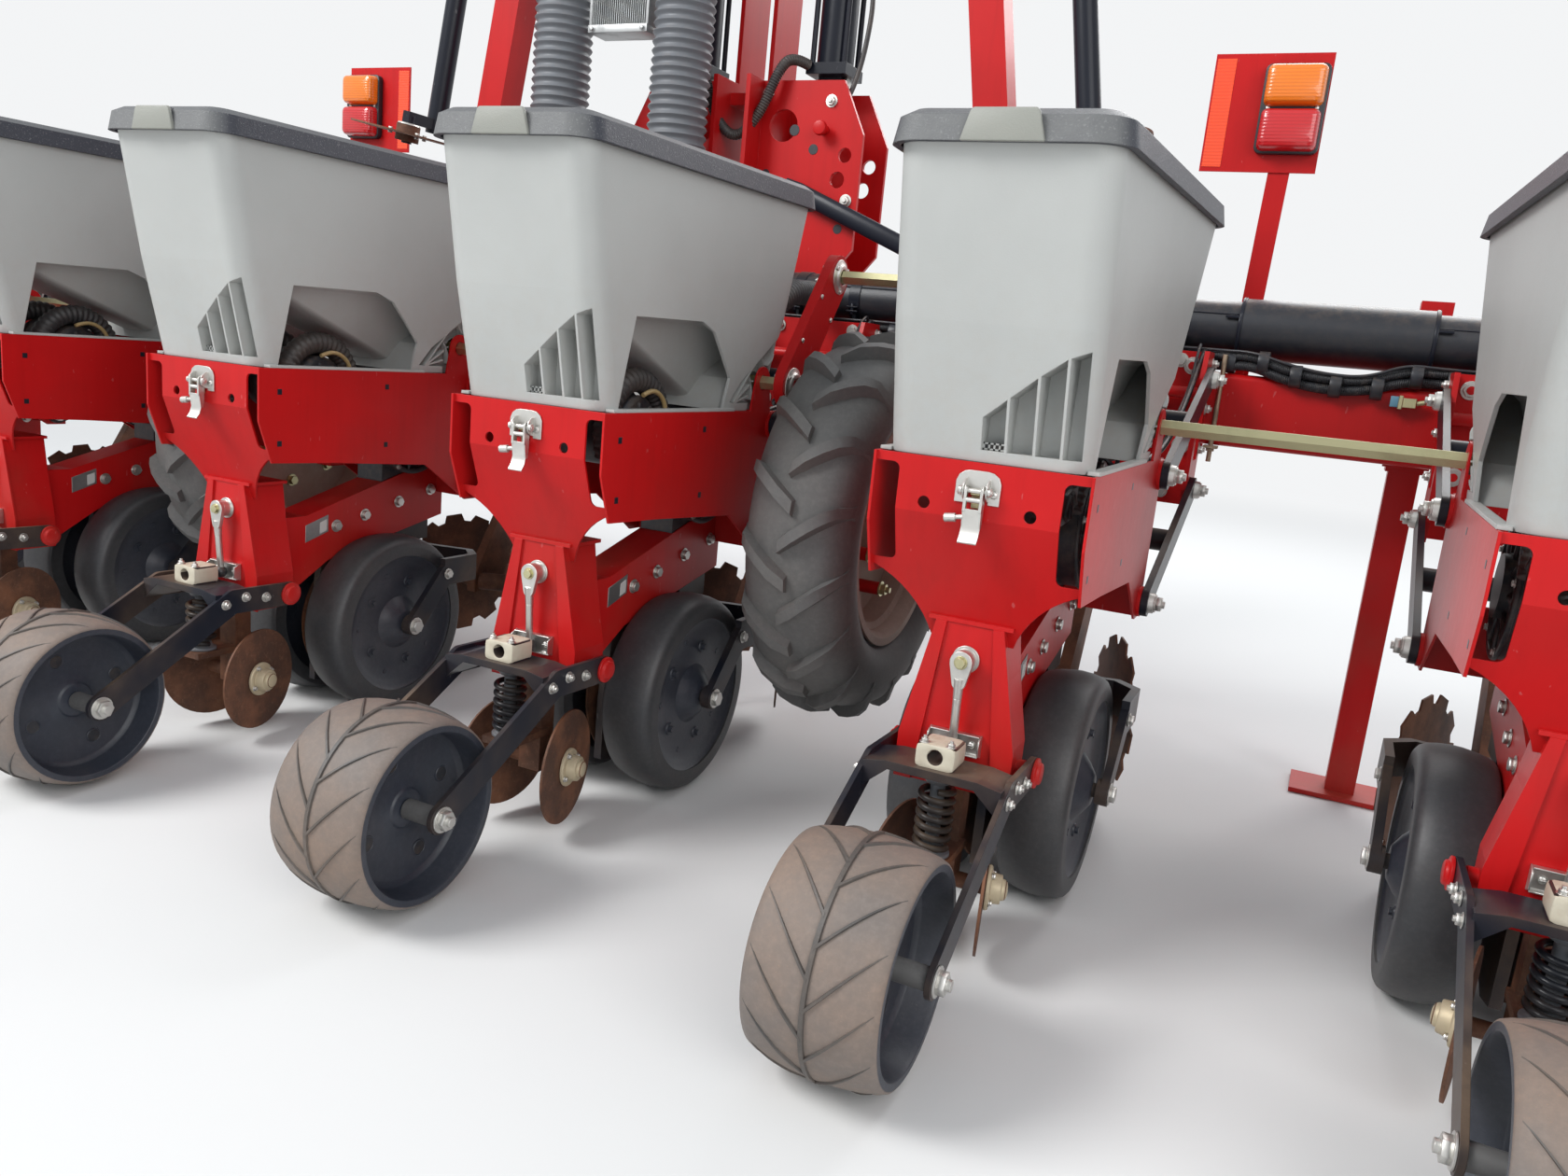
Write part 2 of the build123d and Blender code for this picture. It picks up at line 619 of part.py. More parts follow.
def lid():
    """A moulded cover with a deep rim, resting on the hopper's edge."""
    upper = HOPPER_SECTIONS[-1]
    rim = LID_RIM_GAP + LID_WALL

    def level(z, grow):
        return hopper_outline((z,) + upper[1:], grow)

    cover = loft([level(LID_BASE, rim + 2), level(LID_TOP - 10, rim - 4)], ruled=True)
    cover += loft([level(LID_TOP - 10, rim - 4), level(LID_TOP, rim - 22)], ruled=True)
    grip_y = upper[1] - rim
    grip = [(-LID_GRIP_HALF, LID_BASE), (LID_GRIP_HALF, LID_BASE), (LID_GRIP_HALF - 14, LID_TOP - 6),
            (14 - LID_GRIP_HALF, LID_TOP - 6)]
    cover += plate_y(grip, grip_y - 5, grip_y + 8)
    cover -= extrude(level(LID_BASE, LID_RIM_GAP), amount=LID_SKIRT + SEAT_GAP)
    cover -= extrude(level(LID_BASE, -HOPPER_WALL - 2), amount=LID_TOP - LID_BASE - LID_WALL)
    skirt_y = upper[2] + rim
    cover += rod_x(-HINGE_X, HINGE_X, HINGE_Y, HINGE_Z, HINGE_BARREL_R)
    cover += plate_x([(HINGE_Y - 4, HINGE_Z), (HINGE_Y + 4, HINGE_Z), (skirt_y - 2, LID_BASE + 14),
                      (skirt_y - 6, LID_BASE + 4)], -HINGE_X, HINGE_X)
    cover += rod_x(-HINGE_X - HINGE_EAR_T, HINGE_X + HINGE_EAR_T, HINGE_Y, HINGE_Z, HINGE_PIN_R)
    return cover


def seed_meter():
    """The round meter housing, its seat on the beam, its neck to the hopper and its air spigot."""
    meter = rod_x(-METER_HALF, METER_HALF, METER_Y, METER_Z, METER_R)
    meter += rod_x(-METER_HALF - 14, METER_HALF + 14, METER_Y, METER_Z, METER_R * 0.45)
    back, front = METER_Y - 60, METER_Y + 60
    seat = [(back, line_z(BEAM_TOP, back) + SEAT_GAP), (front, line_z(BEAM_TOP, front) + SEAT_GAP),
            (front, METER_Z - 50), (back, METER_Z - 50)]
    meter += plate_x(seat, -36, 36)
    meter += block(-55, 55, METER_Y - 55, METER_Y + 15, METER_Z, FRAME_TOP)
    turn = radians(METER_PORT_ANGLE)
    reach = METER_R + SPIGOT_LENGTH
    meter += rod((0, METER_Y, METER_Z), (0, METER_Y + reach * cos(turn), METER_Z + reach * sin(turn)), SPIGOT_R)
    return meter


def meter_hose():
    turn = radians(METER_PORT_ANGLE)
    reach = METER_R + SPIGOT_LENGTH + SEAT_GAP
    start = (0, METER_Y + reach * cos(turn), METER_Z + reach * sin(turn))
    lead = (0, start[1] + 75 * cos(turn), start[2] + 75 * sin(turn))
    end_y = PIPE_Y - PIPE_R - SPIGOT_LENGTH - SEAT_GAP
    route = [start, lead, (0, -425, 880), (0, -270, 985), (0, end_y - 70, PIPE_Z), (0, end_y, PIPE_Z)]
    return tube(route, HOSE_R, HOSE_BEND)


def opener_shank():
    """The casting between the opener discs, with the axle and arms of the gauge wheels."""
    top = [(y, line_z(BEAM_BASE, y) - SEAT_GAP) for y in (-890, -600)]
    shank = plate_x([top[0], top[1], (-606, 240), (-660, 90), (-830, 40), (-905, 60), (-905, 180)],
                    -SHANK_HALF, SHANK_HALF)
    head = [(y, line_z(BEAM_BASE, y) - SEAT_GAP) for y in (-700, -600)]
    shank += plate_x([head[0], head[1], (-600, 346), (-700, 346)], -34, 34)
    for side in (-1, 1):
        bend = [(0, -608), (0, -590), (GAUGE_ARM_X - 34, -560), (GAUGE_ARM_X + 8, -596),
                (GAUGE_ARM_X + 8, -700), (GAUGE_ARM_X - 6, -700), (GAUGE_ARM_X - 6, -610),
                (GAUGE_ARM_X - 42, -576), (8, -608)]
        shank += extrude(Plane.XY.offset(270) * outline([(side * x, y) for x, y in bend]), amount=60)
        shank += link((-690, 296), (GAUGE_Y, GAUGE_Z), 22, *sorted((side * (GAUGE_ARM_X - 6),
                                                                   side * (GAUGE_ARM_X + 8))))
        shank += rod_x(*sorted((side * (GAUGE_ARM_X - 12), side * (GAUGE_ARM_X + 8))), GAUGE_Y, GAUGE_Z, 22)
        shank += rod_x(*sorted((side * (GAUGE_IN + 5), side * GAUGE_ARM_X)), GAUGE_Y, GAUGE_Z, GAUGE_AXLE_R)
    return shank


def disc_blade(radius, thickness):
    """A flat disc on a thicker hub, facing along X."""
    return rod_x(-thickness / 2, thickness / 2, 0, 0, radius)


def opener_discs():
    """Two discs a row, closer together at the front, each with its hub cap."""
    discs = []
    for side in (-1, 1):
        seat = DISC_X - SHANK_HALF - SEAT_GAP - DISC_BOSS_R * sin(radians(DISC_TOE))
        disc = disc_blade(DISC_R, DISC_T)
        disc += rod_x(*sorted((-side * seat, side * 13)), 0, 0, DISC_BOSS_R)
        discs.append(Pos(side * DISC_X, DISC_Y, DISC_Z) * Rot(0, 0, side * DISC_TOE) * disc)
    return [Pos(x, 0, 0) * disc for x in ROW_X for disc in discs]


def row_cleaner():
    """An arm under the row head with two notched discs set in a V."""
    arm = plate_x([(BAR_BACK, HEAD_BASE - SEAT_GAP), (-160, HEAD_BASE - SEAT_GAP), (-190, 560), (-370, 270),
                   (-400, 220), (-398, 180), (-305, 180), (-120, 560)], -12, 12)
    for side in (-1, 1):
        place = Pos(side * CLEANER_X, CLEANER_Y, CLEANER_Z) * Rot(0, 0, side * CLEANER_TOE)
        points = []
        for tooth in range(CLEANER_TEETH):
            for share, cut in CLEANER_TOOTH:
                angle = 2 * pi * (tooth + share) / CLEANER_TEETH
                points.append(((CLEANER_R - cut) * cos(angle), (CLEANER_R - cut) * sin(angle)))
        wheel = plate_x(points, -CLEANER_T / 2, CLEANER_T / 2)
        wheel += rod_x(*sorted((-side * 100, side * 16)), 0, 0, 22)
        arm += place * wheel
    return arm


def closing_disc_pair():
    """Two small discs and the arms that hang them from the fork's pivot."""
    parts = None
    for side in (-1, 1):
        disc = disc_blade(CLOSING_R, CLOSING_T)
        for reach, radius in CLOSING_HUB:
            disc += rod_x(*sorted((0, side * reach)), 0, 0, radius)
        disc = Pos(side * CLOSING_X, CLOSING_Y, CLOSING_Z) * Rot(0, 0, side * CLOSING_TOE) * disc
        parts = disc if parts is None else parts + disc
        parts += rod((side * 20, CLOSING_Y, CLOSING_Z), (side * CLOSING_X, CLOSING_Y, CLOSING_Z), 12)
    parts += block(-22, 22, CLOSING_Y - 18, CLOSING_Y + 18, CLOSING_Z - 16, HANGER_TOP - SEAT_GAP)
    parts += block(-30, 30, PRESS_SPRING_Y - 30, CLOSING_Y, HANGER_FOOT_Z - 12, HANGER_FOOT_Z)
    return parts


def press_fork():
    """Two flat bars from the red caps to the wheel's axle, and the saddle across them."""
    fork = rod_x(-FORK_X - FORK_T - 8, FORK_X + FORK_T + 8, PRESS_Y, PRESS_Z, PRESS_AXLE_R)
    for side in (-1, 1):
        x0, x1 = sorted((side * FORK_X, side * (FORK_X + FORK_T)))
        fork += link((FORK_PIVOT_Y, FORK_PIVOT_Z), (-1190, 296), FORK_DEPTH / 2, x0, x1)
        fork += link((-1190, 296), (PRESS_Y, PRESS_Z), FORK_DEPTH / 2, x0, x1)
        fork -= rod_x(x0, x1, FORK_PIVOT_Y, FORK_PIVOT_Z, CAP_R - 6 + PIN_GAP)
    low, high = SADDLE_BASE - 34, SADDLE_BASE + SADDLE_T
    saddle = [(-FORK_X - 2, low), (-FORK_X - 2, low + 40), (-66, high), (66, high), (FORK_X + 2, low + 40),
              (FORK_X + 2, low), (62, SADDLE_BASE), (-62, SADDLE_BASE)]
    fork += plate_y(saddle, -1225, -1148)
    nut = block(-27, 27, -1212, -1162, high - 1, high + 32)
    nut = fillet(nut.edges().filter_by(Axis.Z), 6)
    fork += nut - rod((0, -1230, high + 17), (0, -1140, high + 17), 11)
    return fork


def drive_tyre_profile():
    """Half widths and radii of the carcass, from one bead round the tread to the other."""
    tread = DRIVE_R - DRIVE_LUG
    return [(-RIM_HALF + 9, RIM_R + PIN_GAP), (-RIM_HALF + 9, RIM_R + 16), (-DRIVE_HALF, RIM_R + 60),
            (-DRIVE_HALF, tread - 45),
            (-DRIVE_HALF + 26, tread - 8), (0, tread), (DRIVE_HALF - 26, tread - 8),
            (DRIVE_HALF, tread - 45), (DRIVE_HALF, RIM_R + 60), (RIM_HALF - 9, RIM_R + 16),
            (RIM_HALF - 9, RIM_R + PIN_GAP)]


def drive_tyre(side):
    tyre = spun(drive_tyre_profile(), 0, 0, 0)
    tread = DRIVE_R - DRIVE_LUG
    step = 360 / DRIVE_LUGS
    for index in range(DRIVE_LUGS):
        hand = 1 if index % 2 else -1
        bar = [(-6 * hand, -12), (-6 * hand, 10), ((DRIVE_HALF - 8) * hand, 70), ((DRIVE_HALF - 8) * hand, 44)]
        lug = extrude(Plane.XY.offset(tread - 34) * outline(bar), amount=DRIVE_LUG + 34)
        tyre += Rot(index * step, 0, 0) * lug
    cap = spun([(-DRIVE_HALF - 5, RIM_R), (DRIVE_HALF + 5, RIM_R), (DRIVE_HALF + 5, DRIVE_R - 26),
                (DRIVE_HALF - 24, DRIVE_R - 2), (0, DRIVE_R), (24 - DRIVE_HALF, DRIVE_R - 2),
                (-DRIVE_HALF - 5, DRIVE_R - 26)], 0, 0, 0)
    tyre = tyre & cap
    return Pos(side * DRIVE_X, DRIVE_Y, DRIVE_Z) * tyre


def drive_rim(side):
    rim = spun([(-RIM_HALF, RIM_R + 14), (-RIM_HALF, RIM_R - 6), (-RIM_HALF + 30, RIM_R - 26),
                (RIM_HALF - 30, RIM_R - 26), (RIM_HALF, RIM_R - 6), (RIM_HALF, RIM_R + 14),
                (RIM_HALF - 5, RIM_R + 14), (RIM_HALF - 8, RIM_R), (-RIM_HALF + 8, RIM_R),
                (-RIM_HALF + 5, RIM_R + 14)], 0, 0, 0)
    rim -= rod_x(-RIM_HALF - 5, RIM_HALF + 5, 0, 0, RIM_R - 32)
    disc = rod_x(-RIM_DISC_T / 2, RIM_DISC_T / 2, 0, 0, RIM_R - 24)
    for index in range(6):
        angle = index * pi / 3
        disc -= rod_x(-20, 20, 120 * cos(angle), 120 * sin(angle), 24)
    rim += disc
    rim += rod_x(-RIM_HALF + 10, RIM_HALF - 10, 0, 0, DRIVE_HUB_R)
    rim -= rod_x(-RIM_HALF, RIM_HALF, 0, 0, DRIVE_AXLE_R + PIN_GAP)
    return Pos(side * DRIVE_X, DRIVE_Y, DRIVE_Z) * rim


def wheel_leg(side):
    """The box leg from the toolbar to the drive wheel's axle, on the wheel's inner side."""
    side_view = [(BAR_BACK - SEAT_GAP, BAR_TOP), (BAR_BACK - SEAT_GAP, BAR_BASE), (-150, BAR_BASE - 10),
                 (DRIVE_Y + 50, DRIVE_Z - 55), (DRIVE_Y - 45, DRIVE_Z - 55), (DRIVE_Y - 60, DRIVE_Z),
                 (DRIVE_Y - 30, DRIVE_Z + 60), (DRIVE_Y + 60, DRIVE_Z + 90), (-200, BAR_TOP - 20)]
    leg = plate_x(side_view, LEG_IN, LEG_IN + LEG_T)
    leg += rod_x(LEG_IN, DRIVE_X + RIM_HALF, DRIVE_Y, DRIVE_Z, DRIVE_AXLE_R)
    leg += rod_x(LEG_IN + LEG_T, DRIVE_X - RIM_HALF + 5, DRIVE_Y, DRIVE_Z, 36)
    return leg if side > 0 else mirror(leg, Plane.YZ)


def press_wheel(x):
    """A wide crowned tyre on a dished disc, with chevron grooves."""
    tyre = spun([(-PRESS_HALF, 96), (-PRESS_HALF, PRESS_SIDE_R - 8), (-PRESS_HALF + 8, PRESS_SIDE_R),
                 (-30, PRESS_R - 1), (0, PRESS_R), (30, PRESS_R - 1), (PRESS_HALF - 8, PRESS_SIDE_R),
                 (PRESS_HALF, PRESS_SIDE_R - 8), (PRESS_HALF, 96)], 0, 0, 0)
    disc = rod_x(-14, 14, 0, 0, 97)
    hub = rod_x(-PRESS_HALF + 4, PRESS_HALF - 4, 0, 0, 24)
    wheel = tyre + disc + hub - rod_x(-PRESS_HALF, PRESS_HALF, 0, 0, PRESS_AXLE_R + PIN_GAP)
    return Pos(x, PRESS_Y, PRESS_Z) * wheel


def gauge_wheel():
    """A smooth wheel whose tread bells in towards the opener disc."""
    width = GAUGE_OUT - GAUGE_IN
    wheel = spun([(0, GAUGE_R - 62), (0, GAUGE_R - 14), (10, GAUGE_R - 9), (28, GAUGE_R - 3),
                  (50, GAUGE_R), (width - 16, GAUGE_R - 4), (width, GAUGE_R - 16), (width, GAUGE_R - 62)], 0, 0, 0)
    wheel += rod_x(24, 36, 0, 0, GAUGE_R - 61)
    wheel += rod_x(4, GAUGE_HUB_OUT - GAUGE_IN, 0, 0, GAUGE_HUB_R)
    return wheel - rod_x(-5, width + 40, 0, 0, GAUGE_AXLE_R + PIN_GAP)


def gauge_wheels(x):
    right = Pos(GAUGE_IN, GAUGE_Y, GAUGE_Z) * gauge_wheel()
    return [Pos(x, 0, 0) * wheel for wheel in (right, mirror(right, Plane.YZ))]


def coil(start, end, radius):
    """The outer shape of a coil spring, as a round bar of its outer size."""
    return rod(start, end, radius)


def down_spring():
    """The spring from the head's cross pin to the tube of the lower arm."""
    top = Vector(0, SPRING_PIN_Y, SPRING_PIN_Z)
    low = Vector(0, PIVOT_FRONT_Y + ARM_RUN / 2, PIVOT_LOWER_Z + ARM_DROP / 2)
    along = (low - top).normalized()
    start = top + along * (SPRING_PIN_R + SEAT_GAP)
    end = low - along * (ARM_CROSS_R + SEAT_GAP)
    return coil(tuple(start), tuple(end), DOWN_SPRING_R)


def press_spring():
    """The spring under the fork's saddle, standing on the closing discs' hanger."""
    return coil((0, PRESS_SPRING_Y, HANGER_FOOT_Z + SEAT_GAP), (0, PRESS_SPRING_Y, SADDLE_BASE - SEAT_GAP),
                PRESS_SPRING_R)


def springs():
    return each_row(down_spring) + each_row(press_spring)


def crank_handle():
    """The end of the height screw with its folded handle, and the scale plate behind the ball."""
    back = CRANK_BOX_BACK - SEAT_GAP
    handle = rod((0, back, CRANK_Z), (0, back - 14, CRANK_Z), 16)
    handle += rod((0, back, CRANK_Z), (0, back - 30, CRANK_Z), 7)
    low_z = CRANK_Z - CRANK_EYE
    for radius, fuse in ((16, True), (9.5, False)):
        eye = block(-radius, radius, back - 26, back - 18, low_z, CRANK_Z)
        for z in (low_z, CRANK_Z):
            eye += rod((0, back - 18, z), (0, back - 26, z), radius)
        handle = handle + eye if fuse else handle - (eye - rod((0, back, CRANK_Z), (0, back - 30, CRANK_Z), 7))
    ball = (0, back - 14, low_z - CRANK_ROD)
    handle += rod((0, back - 22, low_z - 12), ball, 6.5)
    handle += Pos(*ball) * Sphere(11.5)
    scale_z = ball[2] - 10
    handle += block(-38, 38, back - 3, back, scale_z, scale_z + 28)
    for side in (-1, 1):
        handle += block(*sorted((side * 13, side * 40)), back - 11, back, scale_z + 25, scale_z + 28)
    return handle


def latch():
    """The over-centre latch that holds the hopper to the frame's rear plate."""
    back = FRAME_BACK - SEAT_GAP
    body = block(-32, 32, back - 4, back, 655, 718)
    return body + block(-13, 13, back - 12, back - 4, 630, 700)


def hex_bar(x0, x1, y, z):
    return extrude(Plane.YZ.offset(x0) * (Pos(y, z) * RegularPolygon(HEX_R, 6)), amount=x1 - x0)


def drive_shafts():
    """Hexagonal shafts along the rows, stepped up over each drive wheel."""
    inner, outer = DRIVE_X - CASE_X, DRIVE_X + CASE_X
    shafts = [hex_bar(-inner + SEAT_GAP, inner - SEAT_GAP, HEX_Y, HEX_Z)]
    for side in (-1, 1):
        low = sorted((side * (outer + SEAT_GAP), side * (ROW_X[-1] + FRAME_HALF + 20)))
        high = sorted((side * (inner + CASE_T + SEAT_GAP), side * (outer - CASE_T - SEAT_GAP)))
        shafts += [hex_bar(*low, HEX_Y, HEX_Z), hex_bar(*high, HEX_HIGH_Y, HEX_HIGH_Z)]
    return shafts


def chain_cases():
    """Flat cases either side of each drive wheel, with the chains between low and high shafts."""
    cases = []
    for side in (-1, 1):
        for x0 in (DRIVE_X - CASE_X, DRIVE_X + CASE_X - CASE_T):
            between = sorted((side * x0, side * (x0 + CASE_T)))
            cases.append(link((HEX_Y, HEX_Z), (HEX_HIGH_Y, HEX_HIGH_Z), CASE_R, *between))
    return cases


def stand(side):
    """A square leg with a flat foot, sliding in its sleeve."""
    half = STAND_SIDE / 2
    leg = block(-half, half, -half, half, STAND_FOOT_T, STAND_TOP)
    inner = half - STAND_WALL
    leg -= block(-inner, inner, -inner, inner, STAND_FOOT_T, STAND_TOP + 1)
    leg += block(-STAND_FOOT / 2, STAND_FOOT / 2, -70, 70, 0, STAND_FOOT_T)
    return Pos(side * STAND_X, STAND_Y, 0) * leg


def stand_sleeve(side):
    inner = STAND_SIDE / 2 + PIN_GAP
    outer = inner + SLEEVE_WALL
    sleeve = block(-outer, outer, -outer, outer, BAR_BASE - 20, BAR_TOP + 40)
    sleeve -= block(-inner, inner, -inner, inner, BAR_BASE - 21, BAR_TOP + 41)
    plate = block(-44, 44, BAR_FRONT + SEAT_GAP - STAND_Y, -outer + 1, BAR_BASE - 10, BAR_TOP + 10)
    return Pos(side * STAND_X, STAND_Y, 0) * (sleeve + plate - block(-inner, inner, -inner, inner, 700, 960))


def tower():
    """Laser-cut plates either side of the middle, joined by webs, with the hitch points in front."""
    front_view = [(TOWER_IN, BAR_BASE - 20), (215, BAR_BASE - 20), (215, 960), (TOWER_OUT, 1120),
                  (TOWER_OUT, 1400), (280, TOWER_TOP), (TOWER_IN, TOWER_TOP)]
    solids = None
    for y in (TOWER_BACK, TOWER_FRONT - TOWER_T):
        sheet = plate_y(front_view, y, y + TOWER_T)
        for x, z, r in ((110, 1180, 46), (255, 1230, 20), (285, 1290, 20), (300, 1350, 18), (120, 1420, 40),
                        (110, 1000, 38)):
            sheet -= rod((x, y - 5, z), (x, y + TOWER_T + 5, z), r)
        solids = sheet if solids is None else solids + sheet
    web_back = BAR_FRONT + SEAT_GAP
    solids += block(TOWER_IN, TOWER_IN + TOWER_T, web_back, TOWER_FRONT, BAR_BASE - 20, TOWER_TOP)
    solids += block(TOWER_IN, TOWER_IN + TOWER_T, MAST_BACK, TOWER_FRONT, TOWER_TOP - 5, MAST_TOP)
    solids += block(TOWER_IN, RAM_X + 60, MAST_BACK, TOWER_FRONT - 20, MAST_TOP - MAST_BAR, MAST_TOP)
    solids += block(203, 215, web_back, TOWER_FRONT, BAR_BASE - 20, 960)
    solids += block(TOWER_IN, 215, web_back, web_back + TOWER_T, BAR_BASE - 20, BAR_TOP + 20)
    lug = [(TOWER_FRONT - 2, 700), (HITCH_Y, HITCH_LOWER_Z + HITCH_LUG_R),
           (HITCH_Y + HITCH_LUG_R, HITCH_LOWER_Z), (HITCH_Y, HITCH_LOWER_Z - HITCH_LUG_R),
           (TOWER_FRONT - 100, 640), (web_back, BAR_BASE - 20), (web_back, BAR_TOP + 20)]
    solids += plate_x(lug, HITCH_HALF - 20 - TOWER_T, HITCH_HALF - 20)
    solids += rod_x(HITCH_HALF - 20 - TOWER_T, HITCH_HALF + HITCH_PIN_LENGTH - 20, HITCH_Y, HITCH_LOWER_Z,
                    HITCH_PIN_R)
    solids += block(100, HITCH_HALF - 20, 215, 315, BAR_BASE - 20, BAR_BASE + 80)
    both = solids + mirror(solids, Plane.YZ)
    both += block(-260, -TOWER_IN, COLLECTOR_Y[1] + SEAT_GAP, MAST_BACK + 20, COLLECTOR_BASE + 15,
                  COLLECTOR_TOP - 15)
    for z in (980, TOWER_TOP - 60, MAST_TOP - 60):
        both += block(-TOWER_IN - 5, TOWER_IN + 5, TOWER_BACK, TOWER_FRONT, z, z + 30)
    top_z = HITCH_LOWER_Z + HITCH_MAST
    for side in (-1, 1):
        x0, x1 = sorted((side * TOP_GAP / 2, side * (TOP_GAP / 2 + TOP_EAR_T)))
        ear = [(TOWER_FRONT - 30, top_z - 80), (HITCH_Y, top_z - 40), (HITCH_Y + 38, top_z),
               (HITCH_Y, top_z + 40), (TOWER_FRONT - 30, top_z + 80)]
        both += plate_x(ear, x0, x1) - rod_x(x0, x1, HITCH_Y, top_z, TOP_BORE_R)
    return [both]


def tower_cylinders():
    """A tie-rod cylinder with square ends on each side, from the tower's edge to the mast's bar."""
    top = RAM_BASE + RAM_LENGTH
    ram = rod((0, 0, RAM_BASE), (0, 0, top), RAM_R)
    for z in (RAM_BASE - 2, top - 26):
        ram += block(-RAM_BLOCK, RAM_BLOCK, -RAM_BLOCK, RAM_BLOCK, z, z + 28)
    for x in (-RAM_BLOCK + 12, RAM_BLOCK - 12):
        for y in (-RAM_BLOCK + 12, RAM_BLOCK - 12):
            ram += rod((x, y, RAM_BASE), (x, y, top), 7)
    ram += block(-30, 30, -22, 22, TOWER_TOP + SEAT_GAP, RAM_BASE)
    ram += rod((0, 0, top), (0, 0, MAST_TOP - MAST_BAR - SEAT_GAP), RAM_ROD_R)
    return mirrored([Pos(RAM_X, RAM_Y, 0) * ram])


def fan():
    """The suction fan's snail housing, its motor, and the box that gathers both hoses."""
    housing = rod((FAN_X, -FAN_HALF, FAN_Z), (FAN_X, FAN_HALF, FAN_Z), FAN_R)
    housing += block(FAN_X, FAN_X + FAN_R + 40, -FAN_HALF, FAN_HALF, FAN_Z + 60, FAN_Z + FAN_R)
    housing += rod((FAN_X, 0, FAN_Z), (FAN_X, FAN_HALF + 120, FAN_Z), 62)
    housing += block(*COLLECTOR_X, *COLLECTOR_Y, COLLECTOR_BASE, COLLECTOR_TOP)
    for x in FAN_HOSE_X:
        spigot_base = COLLECTOR_BASE - SPIGOT_LENGTH
        housing += rod((x, PIPE_Y, COLLECTOR_BASE + 5), (x, PIPE_Y, spigot_base), FAN_HOSE_R - 12)
    return [housing]


def fan_hoses():
    """Two wide hoses from the fan's collector down to the air pipe."""
    low = PIPE_Z + PIPE_R + SPIGOT_LENGTH + SEAT_GAP
    high = COLLECTOR_BASE - SPIGOT_LENGTH - SEAT_GAP
    return [rod((x, PIPE_Y, low), (x, PIPE_Y, high), FAN_HOSE_R) for x in FAN_HOSE_X]


def cooler():
    """A finned oil cooler hung under the collector between the hoses."""
    (x0, x1), (y0, y1) = COOLER_X, COOLER_Y
    top = COLLECTOR_BASE - SEAT_GAP
    core = block(x0, x1, y0, y1, COOLER_BASE, top)
    pitch = (x1 - x0) / COOLER_FINS
    for index in range(COOLER_FINS):
        x = x0 + (index + 0.35) * pitch
        core -= block(x, x + pitch * 0.3, y0 - 1, y0 + 30, COOLER_BASE - 1, top - 20)
    return [core]


def marker_frame(solid, side):
    """Leans a piece drawn upright on the marker's pivot, on the right or the left."""
    placed = Pos(MARKER_X, MARKER_Y, MARKER_Z) * Rot(0, -MARKER_LEAN, 0) * solid
    return placed if side > 0 else mirror(placed, Plane.YZ)


def marker_arm(side):
    """The box arm, with a boss on the pivot pin and two cheeks that hold the elbow's pin."""
    half = MARKER_SIDE / 2
    arm = block(-half, half, -half, half, 20, MARKER_LENGTH - 60)
    arm += rod((0, -half, 0), (0, half, 0), 42)
    arm += block(-half + 10, half - 10, -half, half, 0, 60)
    arm -= rod((0, -half - 5, 0), (0, half + 5, 0), MARKER_PIN_R + PIN_GAP)
    cheek = [(half - 2, MARKER_LENGTH - 220), (half - 2, MARKER_LENGTH - 60),
             (ELBOW_X - 24, MARKER_LENGTH + 26), (ELBOW_X + 24, MARKER_LENGTH + 26),
             (ELBOW_X + 28, MARKER_LENGTH - 20)]
    for y in (-half, half - ELBOW_T):
        arm += plate_y(cheek, y, y + ELBOW_T)
    arm += rod((ELBOW_X, -half - 8, MARKER_LENGTH), (ELBOW_X, half + 8, MARKER_LENGTH), ELBOW_PIN_R)
    return marker_frame(arm, side)


def marker_tube(side):
    """The outer tube, hung beside the arm, with the stub axle of its disc at the lower end."""
    inner = MARKER_SIDE / 2 - ELBOW_T - WHEEL_GAP
    x = 2 * ELBOW_X
    tube = rod((x, 0, MARKER_TUBE_END + 20), (x, 0, MARKER_LENGTH - 70), MARKER_TUBE_R)
    tube += rod((ELBOW_X, -inner, MARKER_LENGTH), (ELBOW_X, inner, MARKER_LENGTH), 27)
    arm = [(ELBOW_X - 15, MARKER_LENGTH - 20), (ELBOW_X + 5, MARKER_LENGTH + 24), (x + 20, MARKER_LENGTH - 70),
           (x + 20, MARKER_LENGTH - 140), (x - 20, MARKER_LENGTH - 140)]
    tube += plate_y(arm, -inner, inner)
    tube -= rod((ELBOW_X, -inner - 5, MARKER_LENGTH), (ELBOW_X, inner + 5, MARKER_LENGTH),
                ELBOW_PIN_R + PIN_GAP)
    tube += block(x - 12, x + 12, MARKER_DISC_Y - 16, 0, MARKER_TUBE_END + 30, MARKER_TUBE_END + 60)
    tube += rod((x, MARKER_DISC_Y, MARKER_TUBE_END - 25), (x, MARKER_DISC_Y, MARKER_TUBE_END + 50), 14)
    return marker_frame(tube, side)


def marker_disc(side):
    x, y, z = 2 * ELBOW_X, MARKER_DISC_Y, MARKER_TUBE_END
    disc = rod((x, y, z - 2), (x, y, z + 2), MARKER_DISC_R)
    disc += rod((x, y, z - 20), (x, y, z + 24), 32)
    disc -= rod((x, y, z - 40), (x, y, z + 40), 14 + PIN_GAP)
    return marker_frame(disc, side)


